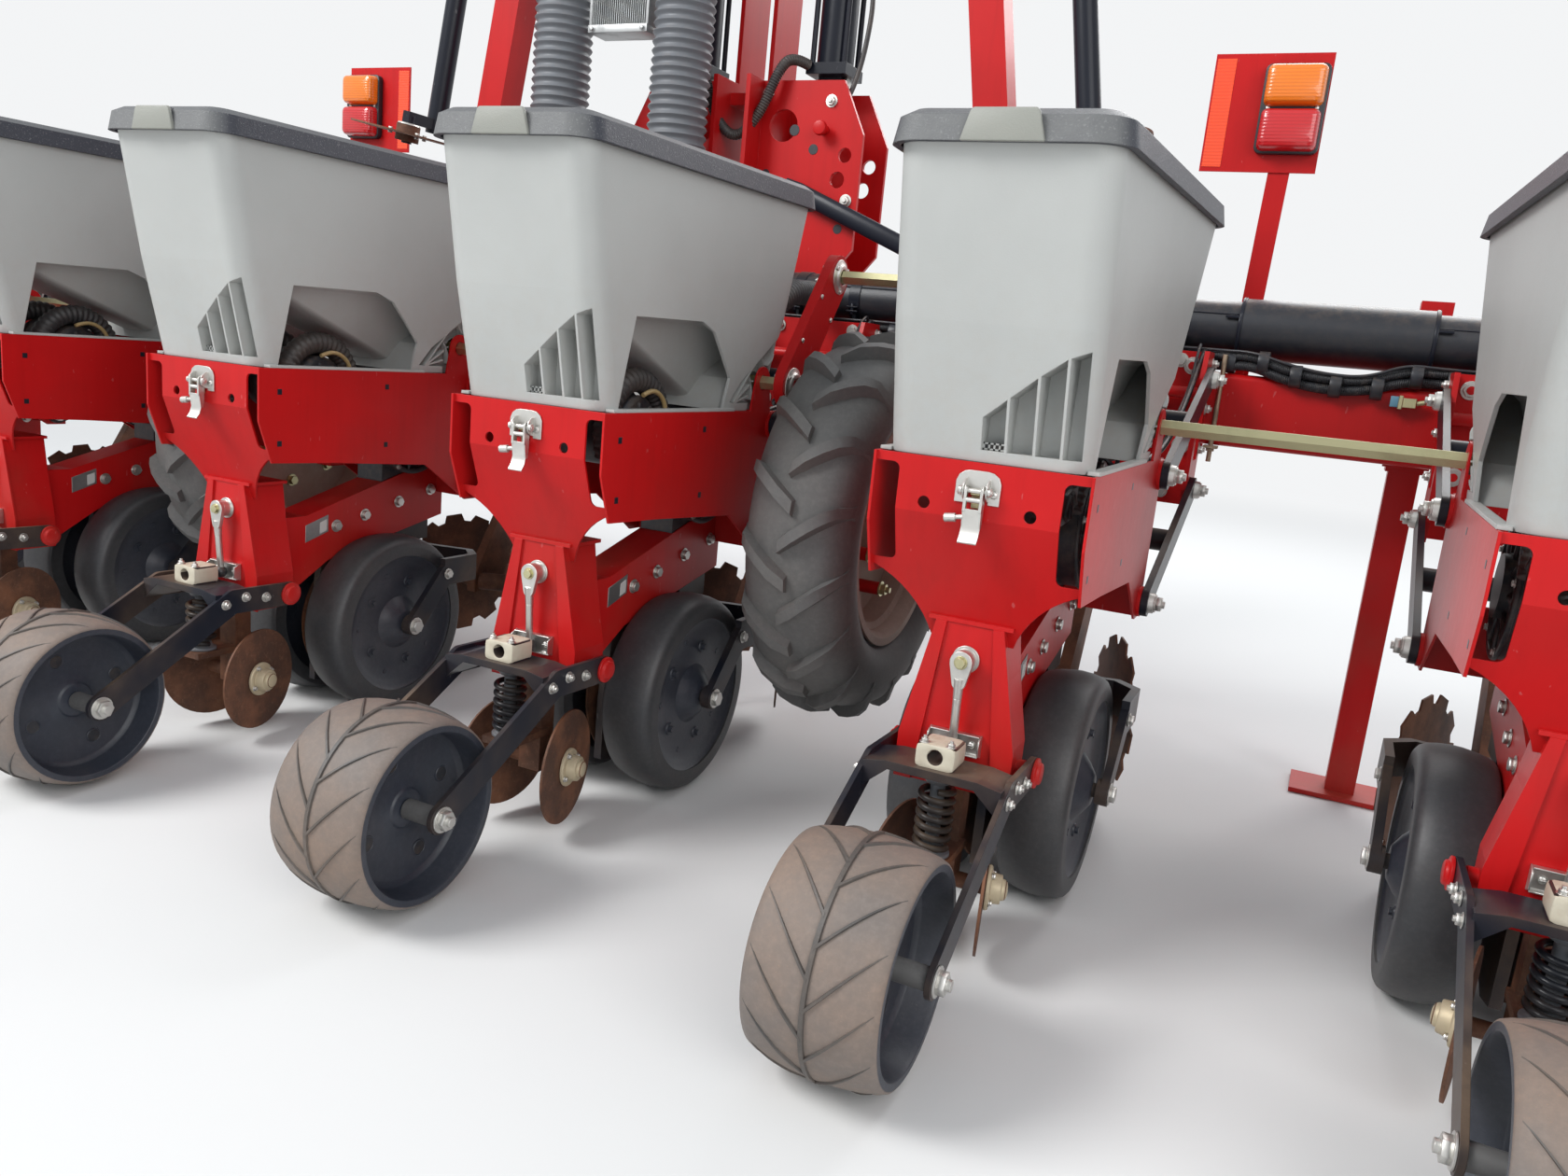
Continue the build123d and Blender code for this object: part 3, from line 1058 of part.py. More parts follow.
def marker_bracket():
    """The bracket that straddles the toolbar and the air pipe and holds the marker's pivot pin."""
    half = MARKER_SIDE / 2
    gap = half + WHEEL_GAP
    x0, x1 = MARKER_X - 70, MARKER_X + 70
    back, front = BAR_BACK - SEAT_GAP, BAR_FRONT + SEAT_GAP
    bridge = PIPE_Z + SLEEVE_R + 4
    bracket = block(x0, x1, front, MARKER_Y + gap + 14, BAR_BASE, bridge + 14)
    bracket += block(x0, x1, back - 16, back, BAR_BASE, bridge + 14)
    bracket += block(x0, x1, back - 16, MARKER_Y + gap + 14, bridge, bridge + 14)
    ear = [(x0, bridge + 5), (x1, bridge + 5), (MARKER_X + 42, MARKER_Z + 36), (MARKER_X - 42, MARKER_Z + 36)]
    for y0, y1 in ((MARKER_Y - gap - 14, MARKER_Y - gap), (MARKER_Y + gap, MARKER_Y + gap + 14)):
        bracket += plate_y(ear, y0, y1)
    bracket += rod((MARKER_X, MARKER_Y - gap - 20, MARKER_Z), (MARKER_X, MARKER_Y + gap + 20, MARKER_Z),
                   MARKER_PIN_R)
    return bracket


def marker_brackets():
    return mirrored([marker_bracket()])


def lamp_board():
    """A red board on a bent post from the toolbar's front."""
    board = block(BOARD_IN, BOARD_OUT, BOARD_Y, BOARD_Y + BOARD_T, BOARD_BASE, BOARD_TOP)
    post_x = 1310
    board += plate_y([(post_x - 22, BAR_BASE + 20), (post_x + 22, BAR_BASE + 20), (post_x + 44, BOARD_TOP - 60),
                      (post_x, BOARD_TOP - 60)], BOARD_Y + BOARD_T, BOARD_Y + BOARD_T + 6)
    board += block(post_x - 22, post_x + 22, BAR_FRONT + SEAT_GAP, BOARD_Y + BOARD_T + 3, BAR_BASE + 20,
                   BAR_TOP - 20)
    return board


def lamp():
    return block(1268, 1398, BOARD_Y - 52, BOARD_Y - SEAT_GAP, 1372, 1556)


NODES = {
    "toolbar": toolbar(),
    "air_pipe": air_pipe(),
    "pipe_brackets": pipe_brackets(),
    "row_heads": each_row(row_head),
    "parallel_arms": parallel_arms(),
    "row_frames": each_row(row_frame),
    "hoppers": each_row(hopper),
    "seed_meters": each_row(seed_meter),
    "meter_hoses": each_row(meter_hose),
    "opener_shanks": each_row(opener_shank),
    "opener_discs": opener_discs(),
    "row_cleaners": each_row(row_cleaner),
    "closing_discs": each_row(closing_disc_pair),
    "press_forks": each_row(press_fork),
    "springs": springs(),
    "crank_handles": each_row(crank_handle),
    "latches": each_row(latch),
    "drive_shafts": drive_shafts(),
    "chain_cases": chain_cases(),
    "wheel_legs": [wheel_leg(-1), wheel_leg(1)],
    "stand_sleeves": [stand_sleeve(-1), stand_sleeve(1)],
    "tower": tower(),
    "tower_cylinders": tower_cylinders(),
    "fan": fan(),
    "fan_hoses": fan_hoses(),
    "cooler": cooler(),
    "marker_brackets": marker_brackets(),
    "lamp_boards": mirrored([lamp_board()]),
    "lamps": mirrored([lamp()]),
}
for name, x in zip(ROW_NAMES, ROW_X):
    NODES["lid_" + name] = [Pos(x, 0, 0) * lid()]
    NODES["gauge_wheels_" + name] = gauge_wheels(x)
    NODES["press_wheel_" + name] = [press_wheel(x)]
for name, side in (("left", -1), ("right", 1)):
    NODES["drive_tyre_" + name] = [drive_tyre(side)]
    NODES["drive_rim_" + name] = [drive_rim(side)]
    NODES["stand_" + name] = [stand(side)]
    NODES["marker_arm_" + name] = [marker_arm(side)]
    NODES["marker_tube_" + name] = [marker_tube(side)]
    NODES["marker_disc_" + name] = [marker_disc(side)]

os.makedirs("parts", exist_ok=True)
for node, solids in NODES.items():
    moved = [Pos(0, SHIFT_Y, 0) * solid for solid in solids]
    shape = moved[0] if len(moved) == 1 else Compound(children=moved)
    export_step(shape, "parts/" + node + ".step")
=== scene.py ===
import json
import math

import bmesh
import bpy
from mathutils import Matrix, Vector


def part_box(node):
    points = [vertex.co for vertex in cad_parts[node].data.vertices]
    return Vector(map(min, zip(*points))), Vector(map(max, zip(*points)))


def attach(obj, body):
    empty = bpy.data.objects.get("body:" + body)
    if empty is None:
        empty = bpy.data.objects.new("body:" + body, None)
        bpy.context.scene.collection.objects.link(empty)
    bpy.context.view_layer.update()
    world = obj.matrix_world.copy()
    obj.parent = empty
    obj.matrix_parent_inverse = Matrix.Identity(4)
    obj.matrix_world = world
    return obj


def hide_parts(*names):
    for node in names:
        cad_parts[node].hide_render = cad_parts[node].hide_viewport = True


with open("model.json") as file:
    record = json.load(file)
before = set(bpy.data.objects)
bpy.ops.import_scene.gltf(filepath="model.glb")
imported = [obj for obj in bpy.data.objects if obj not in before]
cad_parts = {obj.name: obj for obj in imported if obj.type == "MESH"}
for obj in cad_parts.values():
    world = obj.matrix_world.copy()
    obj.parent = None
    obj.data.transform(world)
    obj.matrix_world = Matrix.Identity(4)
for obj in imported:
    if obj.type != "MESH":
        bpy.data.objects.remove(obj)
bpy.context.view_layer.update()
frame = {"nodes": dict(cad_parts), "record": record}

# The machine's own places, in metres. Y is measured from the toolbar's centreline and moved by SHIFT.
TOOLBAR_LOW, TOOLBAR_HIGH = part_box("toolbar")
SHIFT = (TOOLBAR_LOW[1] + TOOLBAR_HIGH[1]) / 2
ROW_PITCH = 0.75
ROW_X = [(n - 2.5) * ROW_PITCH for n in range(6)]
SIDES = (("left", -1), ("right", 1))


def at(x, y, z):
    """A point given from the toolbar's centreline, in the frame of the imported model."""
    return Vector((x, y + SHIFT, z))


def middle_of(node):
    """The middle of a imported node's box."""
    low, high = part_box(node)
    return (Vector(low) + Vector(high)) / 2


ROWS = [at(x, 0, 0) for x in ROW_X]


class Value:
    """A node's output that can be used in Python expressions."""

    def __init__(self, tree, socket):
        self.tree = tree
        self.socket = socket

    def maths(self, operation, *inputs):
        return self.tree.node("ShaderNodeMath", {"operation": operation}, dict(enumerate(inputs)))

    def __add__(self, other):
        return self.maths("ADD", self, other)

    def __radd__(self, other):
        return self.maths("ADD", other, self)

    def __sub__(self, other):
        return self.maths("SUBTRACT", self, other)

    def __rsub__(self, other):
        return self.maths("SUBTRACT", other, self)

    def __mul__(self, other):
        return self.maths("MULTIPLY", self, other)

    def __rmul__(self, other):
        return self.maths("MULTIPLY", other, self)

    def __truediv__(self, other):
        return self.maths("DIVIDE", self, other)

    def __pow__(self, other):
        return self.maths("POWER", self, other)

    def larger(self, other):
        return self.maths("MAXIMUM", self, other)

    def smaller(self, other):
        return self.maths("MINIMUM", self, other)

    def sine(self):
        return self.maths("SINE", self)

    def size(self):
        return self.maths("ABSOLUTE", self)

    def fade(self, start, end):
        """0 below start and 1 above end, smoothly; start may be the larger."""
        settings = {"interpolation_type": "SMOOTHSTEP"}
        return self.tree.node("ShaderNodeMapRange", settings, {0: self, 1: start, 2: end, 3: 0.0, 4: 1.0})


class Tree:
    """A node tree with one method that adds any node."""

    def __init__(self, tree):
        self.tree = tree

    def node(self, kind, settings=None, inputs=None, output=0):
        made = self.tree.nodes.new(kind)
        for key, value in (settings or {}).items():
            setattr(made, key, value)
        for key, value in (inputs or {}).items():
            if isinstance(value, Value):
                self.tree.links.new(value.socket, made.inputs[key])
            else:
                made.inputs[key].default_value = value
        return Value(self, made.outputs[output])


class Finish(Tree):
    """A surface finish: a material with a Principled shader."""

    def __init__(self, name):
        self.material = bpy.data.materials.new(name)
        self.material.use_nodes = True
        super().__init__(self.material.node_tree)
        self.shader = self.tree.nodes["Principled BSDF"]
        self.point = self.node("ShaderNodeTexCoord", output="Object")

    def along(self, axis):
        """One coordinate of the piece's own point."""
        return self.node("ShaderNodeSeparateXYZ", inputs={0: self.point}, output="XYZ".index(axis))

    def facing_up(self):
        normal = self.node("ShaderNodeNewGeometry", output="Normal")
        return self.node("ShaderNodeSeparateXYZ", inputs={0: normal}, output=2)

    def stretched(self, scale):
        return self.node("ShaderNodeMapping", inputs={0: self.point, 3: scale})

    def noise(self, scale, detail=3.0, roughness=0.55, point=None):
        inputs = {"Vector": point or self.point, "Scale": scale, "Detail": detail, "Roughness": roughness}
        return self.node("ShaderNodeTexNoise", inputs=inputs)

    def cells(self, scale, feature="F1"):
        inputs = {"Vector": self.point, "Scale": scale}
        return self.node("ShaderNodeTexVoronoi", {"feature": feature}, inputs)

    def mix(self, share, first, second):
        first = first if isinstance(first, Value) else (*first, 1.0)
        second = second if isinstance(second, Value) else (*second, 1.0)
        return self.node("ShaderNodeMix", {"data_type": "RGBA"}, {0: share, 6: first, 7: second}, output=2)

    def relief(self, height, distance, strength=1.0, edge=0.0):
        inputs = {"Height": height, "Distance": distance, "Strength": strength}
        if edge:
            inputs["Normal"] = self.node("ShaderNodeBevel", {"samples": 4}, {"Radius": edge})
        return self.node("ShaderNodeBump", inputs=inputs)

    def surface(self, **sockets):
        for name, value in sockets.items():
            socket = self.shader.inputs[name.replace("_", " ").title().replace("Ior", "IOR")]
            if isinstance(value, Value):
                self.tree.links.new(value.socket, socket)
            elif isinstance(value, tuple):
                socket.default_value = (*value, 1.0)
            else:
                socket.default_value = value
        return self.material


DUST = (0.36, 0.24, 0.15)
MUD = (0.20, 0.115, 0.065)


def painted(name, colour, roughness, dust=0.35, edge=0.0012):
    """Sprayed paint on steel: faint streaks, dust on what faces up and low down, small pale chips."""
    f = Finish(name)
    streak = f.noise(9.0, 4.0, 0.6, f.stretched((6.0, 6.0, 0.4)))
    blotch = f.noise(5.0)
    fine = f.noise(60.0, 4.0, 0.65)
    low = f.along("Z").fade(0.75, 0.15)
    up = f.facing_up().fade(0.5, 1.0)
    dusty = ((up * 0.5 + low * 0.55) * blotch.fade(0.35, 0.7) * (fine * 0.7 + 0.45)) * dust
    chips = f.noise(60.0, 2.0, 0.5, f.stretched((1.6, 1.6, 0.6))).fade(0.735, 0.755)
    tone = f.mix(blotch.fade(0.3, 0.75) * 0.7 + streak.fade(0.45, 0.7) * 0.3, colour, tuple(c * 0.8 for c in colour))
    tone = f.mix(chips * 0.45, tone, tuple(c * 0.8 + 0.12 for c in colour))
    tone = f.mix(dusty, tone, DUST)
    peel = f.noise(420.0, 2.0)
    return f.surface(
        base_color=tone,
        roughness=roughness + dusty * 0.5 + fine * 0.06,
        specular_ior_level=0.22,
        coat_weight=0.04,
        coat_roughness=0.10,
        normal=f.relief(peel, 0.0001, 0.10, edge),
    )


def moulded(name, colour, roughness, grain=0.3, dust=0.25, edge=0.002):
    """Grained plastic with faint flow marks and a little dust."""
    f = Finish(name)
    grains = f.cells(520.0)
    blotch = f.noise(3.5)
    fine = f.noise(45.0, 5.0, 0.7)
    up = f.facing_up().fade(0.3, 1.0)
    low = f.along("Z").fade(1.05, 0.72)
    dusty = (up * 0.55 + low * 0.3 + 0.06) * fine.fade(0.38, 0.7) * dust
    tone = f.mix(blotch.fade(0.3, 0.75) * 0.6, colour, tuple(c * 0.86 for c in colour))
    tone = f.mix(dusty, tone, DUST)
    return f.surface(
        base_color=tone,
        roughness=roughness + grains * 0.08 + dusty * 0.3,
        normal=f.relief(grains, 0.0003, grain, edge),
    )


def weathered_lid_with_painted_light(name, colour, worn):
    """Coarse-grained plastic, dark along the sides and pale grey on top and on the rear faces, where the light falls:
    painted light and shade; pale specks of wear.
    """
    f = Finish(name)
    grains = f.cells(420.0)
    fine = f.noise(60.0, 4.0, 0.7)
    specks = f.noise(330.0, 2.0).fade(0.60, 0.68)
    normal = f.node("ShaderNodeTexCoord", output="Normal")
    back = f.node("ShaderNodeSeparateXYZ", inputs={0: normal}, output=1).fade(-0.35, -0.9)
    top = f.node("ShaderNodeSeparateXYZ", inputs={0: normal}, output=2).fade(0.4, 0.95)
    # Painted light: faces that point back and up are mixed towards the pale worn grey, while the sides stay dark.
    painted_light_share = (back + top * 0.6).smaller(1.0) * (fine * 0.5 + 0.65).smaller(1.0)
    tone = f.mix(painted_light_share, colour, worn)
    tone = f.mix(specks * 0.35, tone, tuple(c * 1.9 for c in worn))
    return f.surface(
        base_color=tone,
        roughness=0.42 + painted_light_share * 0.2,
        normal=f.relief(grains, 0.0004, 0.7, 0.002),
    )


def rubber(name, colour, roughness, dust=0.5, dust_colour=DUST, scuff=0.3):
    """Worn rubber, paler where it is scuffed and brown where soil has dried on it."""
    f = Finish(name)
    blotch = f.noise(5.0, 6.0, 0.65)
    fine = f.noise(110.0, 6.0, 0.75)
    specks = f.noise(300.0, 3.0).fade(0.66, 0.72) * blotch.fade(0.45, 0.6)
    tone = f.mix(fine.fade(0.4, 0.75) * scuff, colour, tuple(c * 1.6 + 0.02 for c in colour))
    dusty = (blotch.fade(0.3, 0.8) * (fine * 0.9 + 0.2) + specks * 0.5).smaller(1.0) * dust
    tone = f.mix(dusty, tone, dust_colour)
    return f.surface(
        base_color=tone,
        roughness=roughness + dusty * 0.2,
        normal=f.relief(fine + specks * 0.6, 0.0006, 0.5),
    )


def bare_metal(name, colour, roughness, metallic=1.0, stain=0.3, edge=0.0006):
    """Plated or cast metal with dull stains."""
    f = Finish(name)
    blotch = f.noise(14.0, 5.0, 0.65)
    fine = f.noise(150.0, 4.0, 0.7)
    stained = blotch.fade(0.45, 0.7) * (fine * 0.6 + 0.5) * stain
    tone = f.mix(stained, colour, tuple(c * 0.45 for c in colour))
    return f.surface(
        base_color=tone,
        metallic=metallic - stained * 0.6,
        roughness=roughness + stained * 0.4 + fine * 0.08,
        normal=f.relief(fine, 0.0003, 0.3, edge),
    )


def rusted(name, colour, edge=0.0004):
    """Steel discs with a skin of dry rust, scratched bright by the soil."""
    f = Finish(name)
    blotch = f.noise(9.0, 6.0, 0.65)
    fine = f.noise(120.0, 6.0, 0.75)
    tone = f.mix(blotch.fade(0.35, 0.65), colour, (0.19, 0.075, 0.035))
    tone = f.mix(fine.fade(0.5, 0.8) * 0.5, tone, (0.33, 0.19, 0.12))
    return f.surface(
        base_color=tone,
        metallic=0.35 - blotch.fade(0.4, 0.6) * 0.3,
        roughness=0.48 + fine * 0.35,
        normal=f.relief(fine, 0.0006, 0.6, edge),
    )


def moulded_lamp(name, colour):
    """A ribbed plastic lens."""
    f = Finish(name)
    ribs = (f.along("Z") * 900.0).sine() * 0.5 + 0.5
    tone = f.mix(ribs * 0.35, colour, tuple(c * 0.6 for c in colour))
    return f.surface(base_color=tone, roughness=0.22, coat_weight=0.6, normal=f.relief(ribs, 0.0008, 0.5))


FINISHES = {
    "red_paint": painted("red paint", (0.50, 0.007, 0.008), 0.36, dust=0.2),
    "black_paint": painted("black paint", (0.012, 0.014, 0.022), 0.30, dust=0.5),
    "hopper_plastic": moulded("hopper plastic", (0.430, 0.440, 0.425), 0.40),
    "lid_plastic": weathered_lid_with_painted_light("lid plastic", (0.026, 0.029, 0.041), (0.135, 0.138, 0.138)),
    "black_plastic": moulded("black plastic", (0.014, 0.016, 0.022), 0.36, dust=0.3),
    "hose_rubber": rubber("hose rubber", (0.022, 0.023, 0.026), 0.5, dust=0.25),
    "gauge_rubber": rubber("gauge wheel rubber", (0.030, 0.032, 0.036), 0.46, dust=0.22, dust_colour=(0.20, 0.17, 0.14)),
    "press_rubber": rubber("press wheel tread", (0.150, 0.128, 0.115), 0.62, dust=0.75, dust_colour=(0.31, 0.20, 0.135)),
    "lug_rubber": rubber("lugged tyre rubber", (0.098, 0.099, 0.098), 0.62, dust=0.4, dust_colour=(0.24, 0.21, 0.18)),
    "rim_paint": rubber("dusty rim paint", (0.42, 0.33, 0.27), 0.6, dust=0.7, dust_colour=(0.24, 0.13, 0.08)),
    "disc_steel": rusted("rusted disc steel", (0.09, 0.045, 0.03)),
    "spring_steel": painted("spring paint", (0.010, 0.011, 0.014), 0.32, dust=0.5, edge=0.0005),
    "zinc": bare_metal("yellow zinc", (0.53, 0.50, 0.30), 0.32),
    "cast_zinc": bare_metal("bright zinc", (0.62, 0.61, 0.58), 0.36),
    "cooler_metal": bare_metal("cooler aluminium", (0.42, 0.43, 0.43), 0.45, stain=0.5),
    "lamp_plastic": moulded_lamp("amber lens", (0.85, 0.20, 0.01)),
}
GREY_HOSE = moulded("grey hose plastic", (0.15, 0.16, 0.175), 0.45, dust=0.3)
SIDEWALL = rubber("wheel disc plastic", (0.022, 0.027, 0.040), 0.42, dust=0.2, dust_colour=(0.20, 0.17, 0.15))
PRESS_RUBBER = FINISHES["press_rubber"]
RIB_RUBBER = rubber("press wheel ribs", (0.050, 0.048, 0.047), 0.5, dust=0.45, dust_colour=(0.30, 0.215, 0.155))
CLEAR_TUBE = moulded("yellowed tube", (0.42, 0.30, 0.13), 0.35, dust=0.3)
SLEEVE_STEEL = bare_metal("stained grey sleeve", (0.23, 0.225, 0.22), 0.45, metallic=0.7, stain=0.8)
WHITE_PATCH = moulded("blank white patch", (0.62, 0.62, 0.60), 0.45, dust=0.2)
RED_LENS = moulded_lamp("red lens", (0.55, 0.01, 0.015))
REFLECTOR = moulded_lamp("orange reflective strip", (0.95, 0.07, 0.01))
CREAM = moulded("cream moulded nut", (0.62, 0.57, 0.45), 0.5, dust=0.5)
LID_GRIP = moulded("worn lid grip", (0.27, 0.275, 0.245), 0.5, grain=0.6, dust=0.3)
HUB_CAP = bare_metal("dusty hub cap", (0.52, 0.44, 0.30), 0.5, metallic=0.4, stain=0.5)
BLUE_SHELL = moulded("blue connector shell", (0.10, 0.24, 0.33), 0.45, dust=0.3)
STAINED_ZINC = bare_metal("stained zinc rod", (0.42, 0.33, 0.24), 0.45, stain=0.7)

for entry in frame["record"]["subparts"]:
    node = frame["nodes"][entry["node"]]
    for index in range(max(1, len(node.material_slots))):
        if not node.material_slots:
            node.data.materials.append(None)
        node.material_slots[index].material = FINISHES[entry["material_slot"]]


frame["nodes"]["chain_cases"].material_slots[0].material = FINISHES["red_paint"]

BACKDROP = (0.90, 0.91, 0.92)


def studio():
    """A pale floor, soft lamps and the camera of the photograph."""
    scene = bpy.context.scene
    floor_mesh = bpy.data.meshes.new("floor")
    reach = 40.0
    corners = [(-reach, -reach, -0.0015), (reach, -reach, -0.0015), (reach, reach, -0.0015), (-reach, reach, -0.0015)]
    floor_mesh.from_pydata(corners, [], [(0, 1, 2, 3)])
    floor = bpy.data.objects.new("floor", floor_mesh)
    scene.collection.objects.link(floor)
    f = Finish("floor")
    floor_mesh.materials.append(f.surface(base_color=(0.72, 0.72, 0.71), roughness=0.9))
    away = (f.along("X") ** 2.0 + f.along("Y") ** 2.0) ** 0.5
    pale = f.node("ShaderNodeEmission", inputs={0: (*BACKDROP, 1.0), 1: 1.0})
    faded = f.node("ShaderNodeMixShader", inputs={0: away.fade(3.2, 9.0), 1: Value(f, f.shader.outputs[0]), 2: pale})
    f.tree.links.new(faded.socket, f.tree.nodes["Material Output"].inputs[0])

    world = bpy.data.worlds.new("studio")
    world.use_nodes = True
    scene.world = world
    tree = Tree(world.node_tree)
    world.node_tree.nodes.clear()
    rays = [tree.node("ShaderNodeLightPath", output=name)
            for name in ("Is Camera Ray", "Is Glossy Ray", "Is Transmission Ray")]
    seen = rays[0].larger(rays[1] * 0.8).larger(rays[2])
    light = tree.node("ShaderNodeBackground", inputs={0: (0.85, 0.92, 1.0, 1.0), 1: 0.55})
    backdrop = tree.node("ShaderNodeBackground", inputs={0: (*BACKDROP, 1.0), 1: 1.0})
    mixed = tree.node("ShaderNodeMixShader", inputs={0: seen, 1: light, 2: backdrop})
    tree.node_output = world.node_tree.nodes.new("ShaderNodeOutputWorld")
    world.node_tree.links.new(mixed.socket, tree.node_output.inputs[0])

    for name, place, target, width, power in (
        ("key lamp", (-3.5, -4.5, 5.5), (0.3, -0.3, 0.6), 3.0, 520.0),
        ("fill lamp", (5.0, -4.0, 3.0), (0.8, -0.3, 0.6), 4.0, 160.0),
        ("back lamp", (1.5, 5.0, 5.0), (0.0, 0.3, 0.8), 4.0, 260.0),
    ):
        lamp = bpy.data.lights.new(name, "AREA")
        lamp.size = width
        lamp.energy = power
        holder = bpy.data.objects.new(name, lamp)
        scene.collection.objects.link(holder)
        holder.location = place
        holder.rotation_euler = (Vector(place) - Vector(target)).to_track_quat("Z", "Y").to_euler()

    camera = bpy.data.objects.new("camera", bpy.data.cameras.new("camera"))
    scene.collection.objects.link(camera)
    camera.data.sensor_width = 36.0
    camera.data.lens = 26.53
    right, up, back = (0.8962, 0.4334, 0.0945), (-0.1720, 0.1432, 0.9746), (0.4089, -0.8897, 0.2029)
    turn = Matrix((right, up, back)).transposed().to_4x4()
    camera.matrix_world = Matrix.Translation(at(1.5465, -2.675, 0.862)) @ turn
    scene.camera = camera
    scene.view_settings.view_transform = "Standard"


class Growth(Tree):
    """A Geometry Nodes tree with named sizes, which gives a plain mesh."""

    def __init__(self, name, **sizes):
        super().__init__(bpy.data.node_groups.new(name, "GeometryNodeTree"))
        interface = self.tree.interface
        interface.new_socket("Geometry", in_out="INPUT", socket_type="NodeSocketGeometry")
        interface.new_socket("Geometry", in_out="OUTPUT", socket_type="NodeSocketGeometry")
        for label, value in sizes.items():
            kind = "NodeSocketInt" if isinstance(value, int) else "NodeSocketFloat"
            interface.new_socket(label, in_out="INPUT", socket_type=kind).default_value = value
        self.start = self.tree.nodes.new("NodeGroupInput")
        self.end = self.tree.nodes.new("NodeGroupOutput")

    def given(self, label="Geometry"):
        return Value(self, self.start.outputs[label])

    def vector(self, x, y, z):
        return self.node("ShaderNodeCombineXYZ", inputs={0: x, 1: y, 2: z})

    def done(self, geometry, material):
        real = self.node("GeometryNodeRealizeInstances", inputs={0: geometry})
        made = self.node("GeometryNodeSetMaterial", inputs={0: real, 2: material})
        self.tree.links.new(made.socket, self.end.inputs[0])
        return self

    def mesh(self, base=None, **sizes):
        host = bpy.data.objects.new("growing", base or bpy.data.meshes.new("growing"))
        bpy.context.scene.collection.objects.link(host)
        modifier = host.modifiers.new("growth", "NODES")
        modifier.node_group = self.tree
        for item in self.tree.interface.items_tree:
            if item.in_out == "INPUT" and item.name in sizes:
                modifier[item.identifier] = sizes[item.name]
        graph = bpy.context.evaluated_depsgraph_get()
        made = bpy.data.meshes.new_from_object(host.evaluated_get(graph))
        bpy.data.objects.remove(host)
        return made


class Shape:
    """Vertices and faces put together from simple forms, in metres."""

    def __init__(self):
        self.points = []
        self.faces = []

    def add(self, points, faces):
        first = len(self.points)
        self.points += [Vector(p) for p in points]
        self.faces += [tuple(i + first for i in face) for face in faces]
        return self

    def join(self, other, turn=None):
        points = other.points if turn is None else [turn @ p for p in other.points]
        faces = other.faces
        if turn is not None and turn.determinant() < 0:
            faces = [face[::-1] for face in faces]
        return self.add(points, faces)

    def box(self, low, high):
        (x0, y0, z0), (x1, y1, z1) = low, high
        points = [(x, y, z) for x in (x0, x1) for y in (y0, y1) for z in (z0, z1)]
        faces = [(0, 1, 3, 2), (4, 6, 7, 5), (0, 4, 5, 1), (2, 3, 7, 6), (0, 2, 6, 4), (1, 5, 7, 3)]
        return self.add(points, faces)

    def loft(self, rings, closed=False):
        """A skin over rings of equally many points, with a face on each end unless it is closed."""
        count = len(rings[0])
        points = [p for ring in rings for p in ring]
        faces = []
        for i in range(len(rings) if closed else len(rings) - 1):
            a, b = i * count, ((i + 1) % len(rings)) * count
            faces += [(a + j, a + (j + 1) % count, b + (j + 1) % count, b + j) for j in range(count)]
        if not closed:
            faces += [tuple(reversed(range(count))), tuple(range(len(points) - count, len(points)))]
        return self.add(points, faces)

    def turned(self, profile, sides=48, centre=(0, 0, 0), closed=True):
        """A form turned about X from (x, radius) points; a closed profile is a ring's section."""
        cx, cy, cz = centre
        rings = []
        for i in range(sides):
            a = 2 * math.pi * i / sides
            rings.append([(cx + x, cy + r * math.cos(a), cz + r * math.sin(a)) for x, r in profile])
        if closed:
            return self.loft(rings, closed=True)
        count = len(profile)
        points = [p for ring in rings for p in ring]
        faces = []
        for i in range(sides):
            a, b = i * count, ((i + 1) % sides) * count
            faces += [(a + j, a + j + 1, b + j + 1, b + j) for j in range(count - 1)]
        faces += [tuple(i * count for i in range(sides)), tuple(i * count + count - 1 for i in reversed(range(sides)))]
        return self.add(points, faces)

    def bar(self, start, end, radius, sides=16, end_radius=None):
        """A round or many-sided bar between two points."""
        start, end = Vector(start), Vector(end)
        turn = (end - start).to_track_quat("Z", "Y").to_matrix()
        rings = []
        for place, size in ((start, radius), (end, radius if end_radius is None else end_radius)):
            rings.append([place + turn @ Vector((size * math.cos(2 * math.pi * i / sides),
                                                 size * math.sin(2 * math.pi * i / sides), 0))
                          for i in range(sides)])
        return self.loft(rings)

    def prism(self, outline, low, high, plane="X"):
        """An outline of (y, z), (x, z) or (x, y) points between two planes across X, Y or Z."""
        places = {"X": lambda a, b, d: (d, a, b), "Y": lambda a, b, d: (a, d, b), "Z": lambda a, b, d: (a, b, d)}
        rings = [[places[plane](a, b, depth) for a, b in outline] for depth in (low, high)]
        return self.loft(rings)

    def copies(self, offsets):
        made = Shape()
        for offset in offsets:
            made.join(self, Matrix.Translation(Vector(offset)))
        return made

    def moved(self, offset):
        return self.copies([offset])

    def mirrored(self):
        return self.turned_by(Matrix.Diagonal((-1, 1, 1, 1)))

    def turned_by(self, turn):
        return Shape().join(self, turn)

    def mesh(self, name):
        made = bpy.data.meshes.new(name)
        made.from_pydata([tuple(p) for p in self.points], [], self.faces)
        clean = bmesh.new()
        clean.from_mesh(made)
        bmesh.ops.recalc_face_normals(clean, faces=clean.faces)
        clean.to_mesh(made)
        clean.free()
        return made


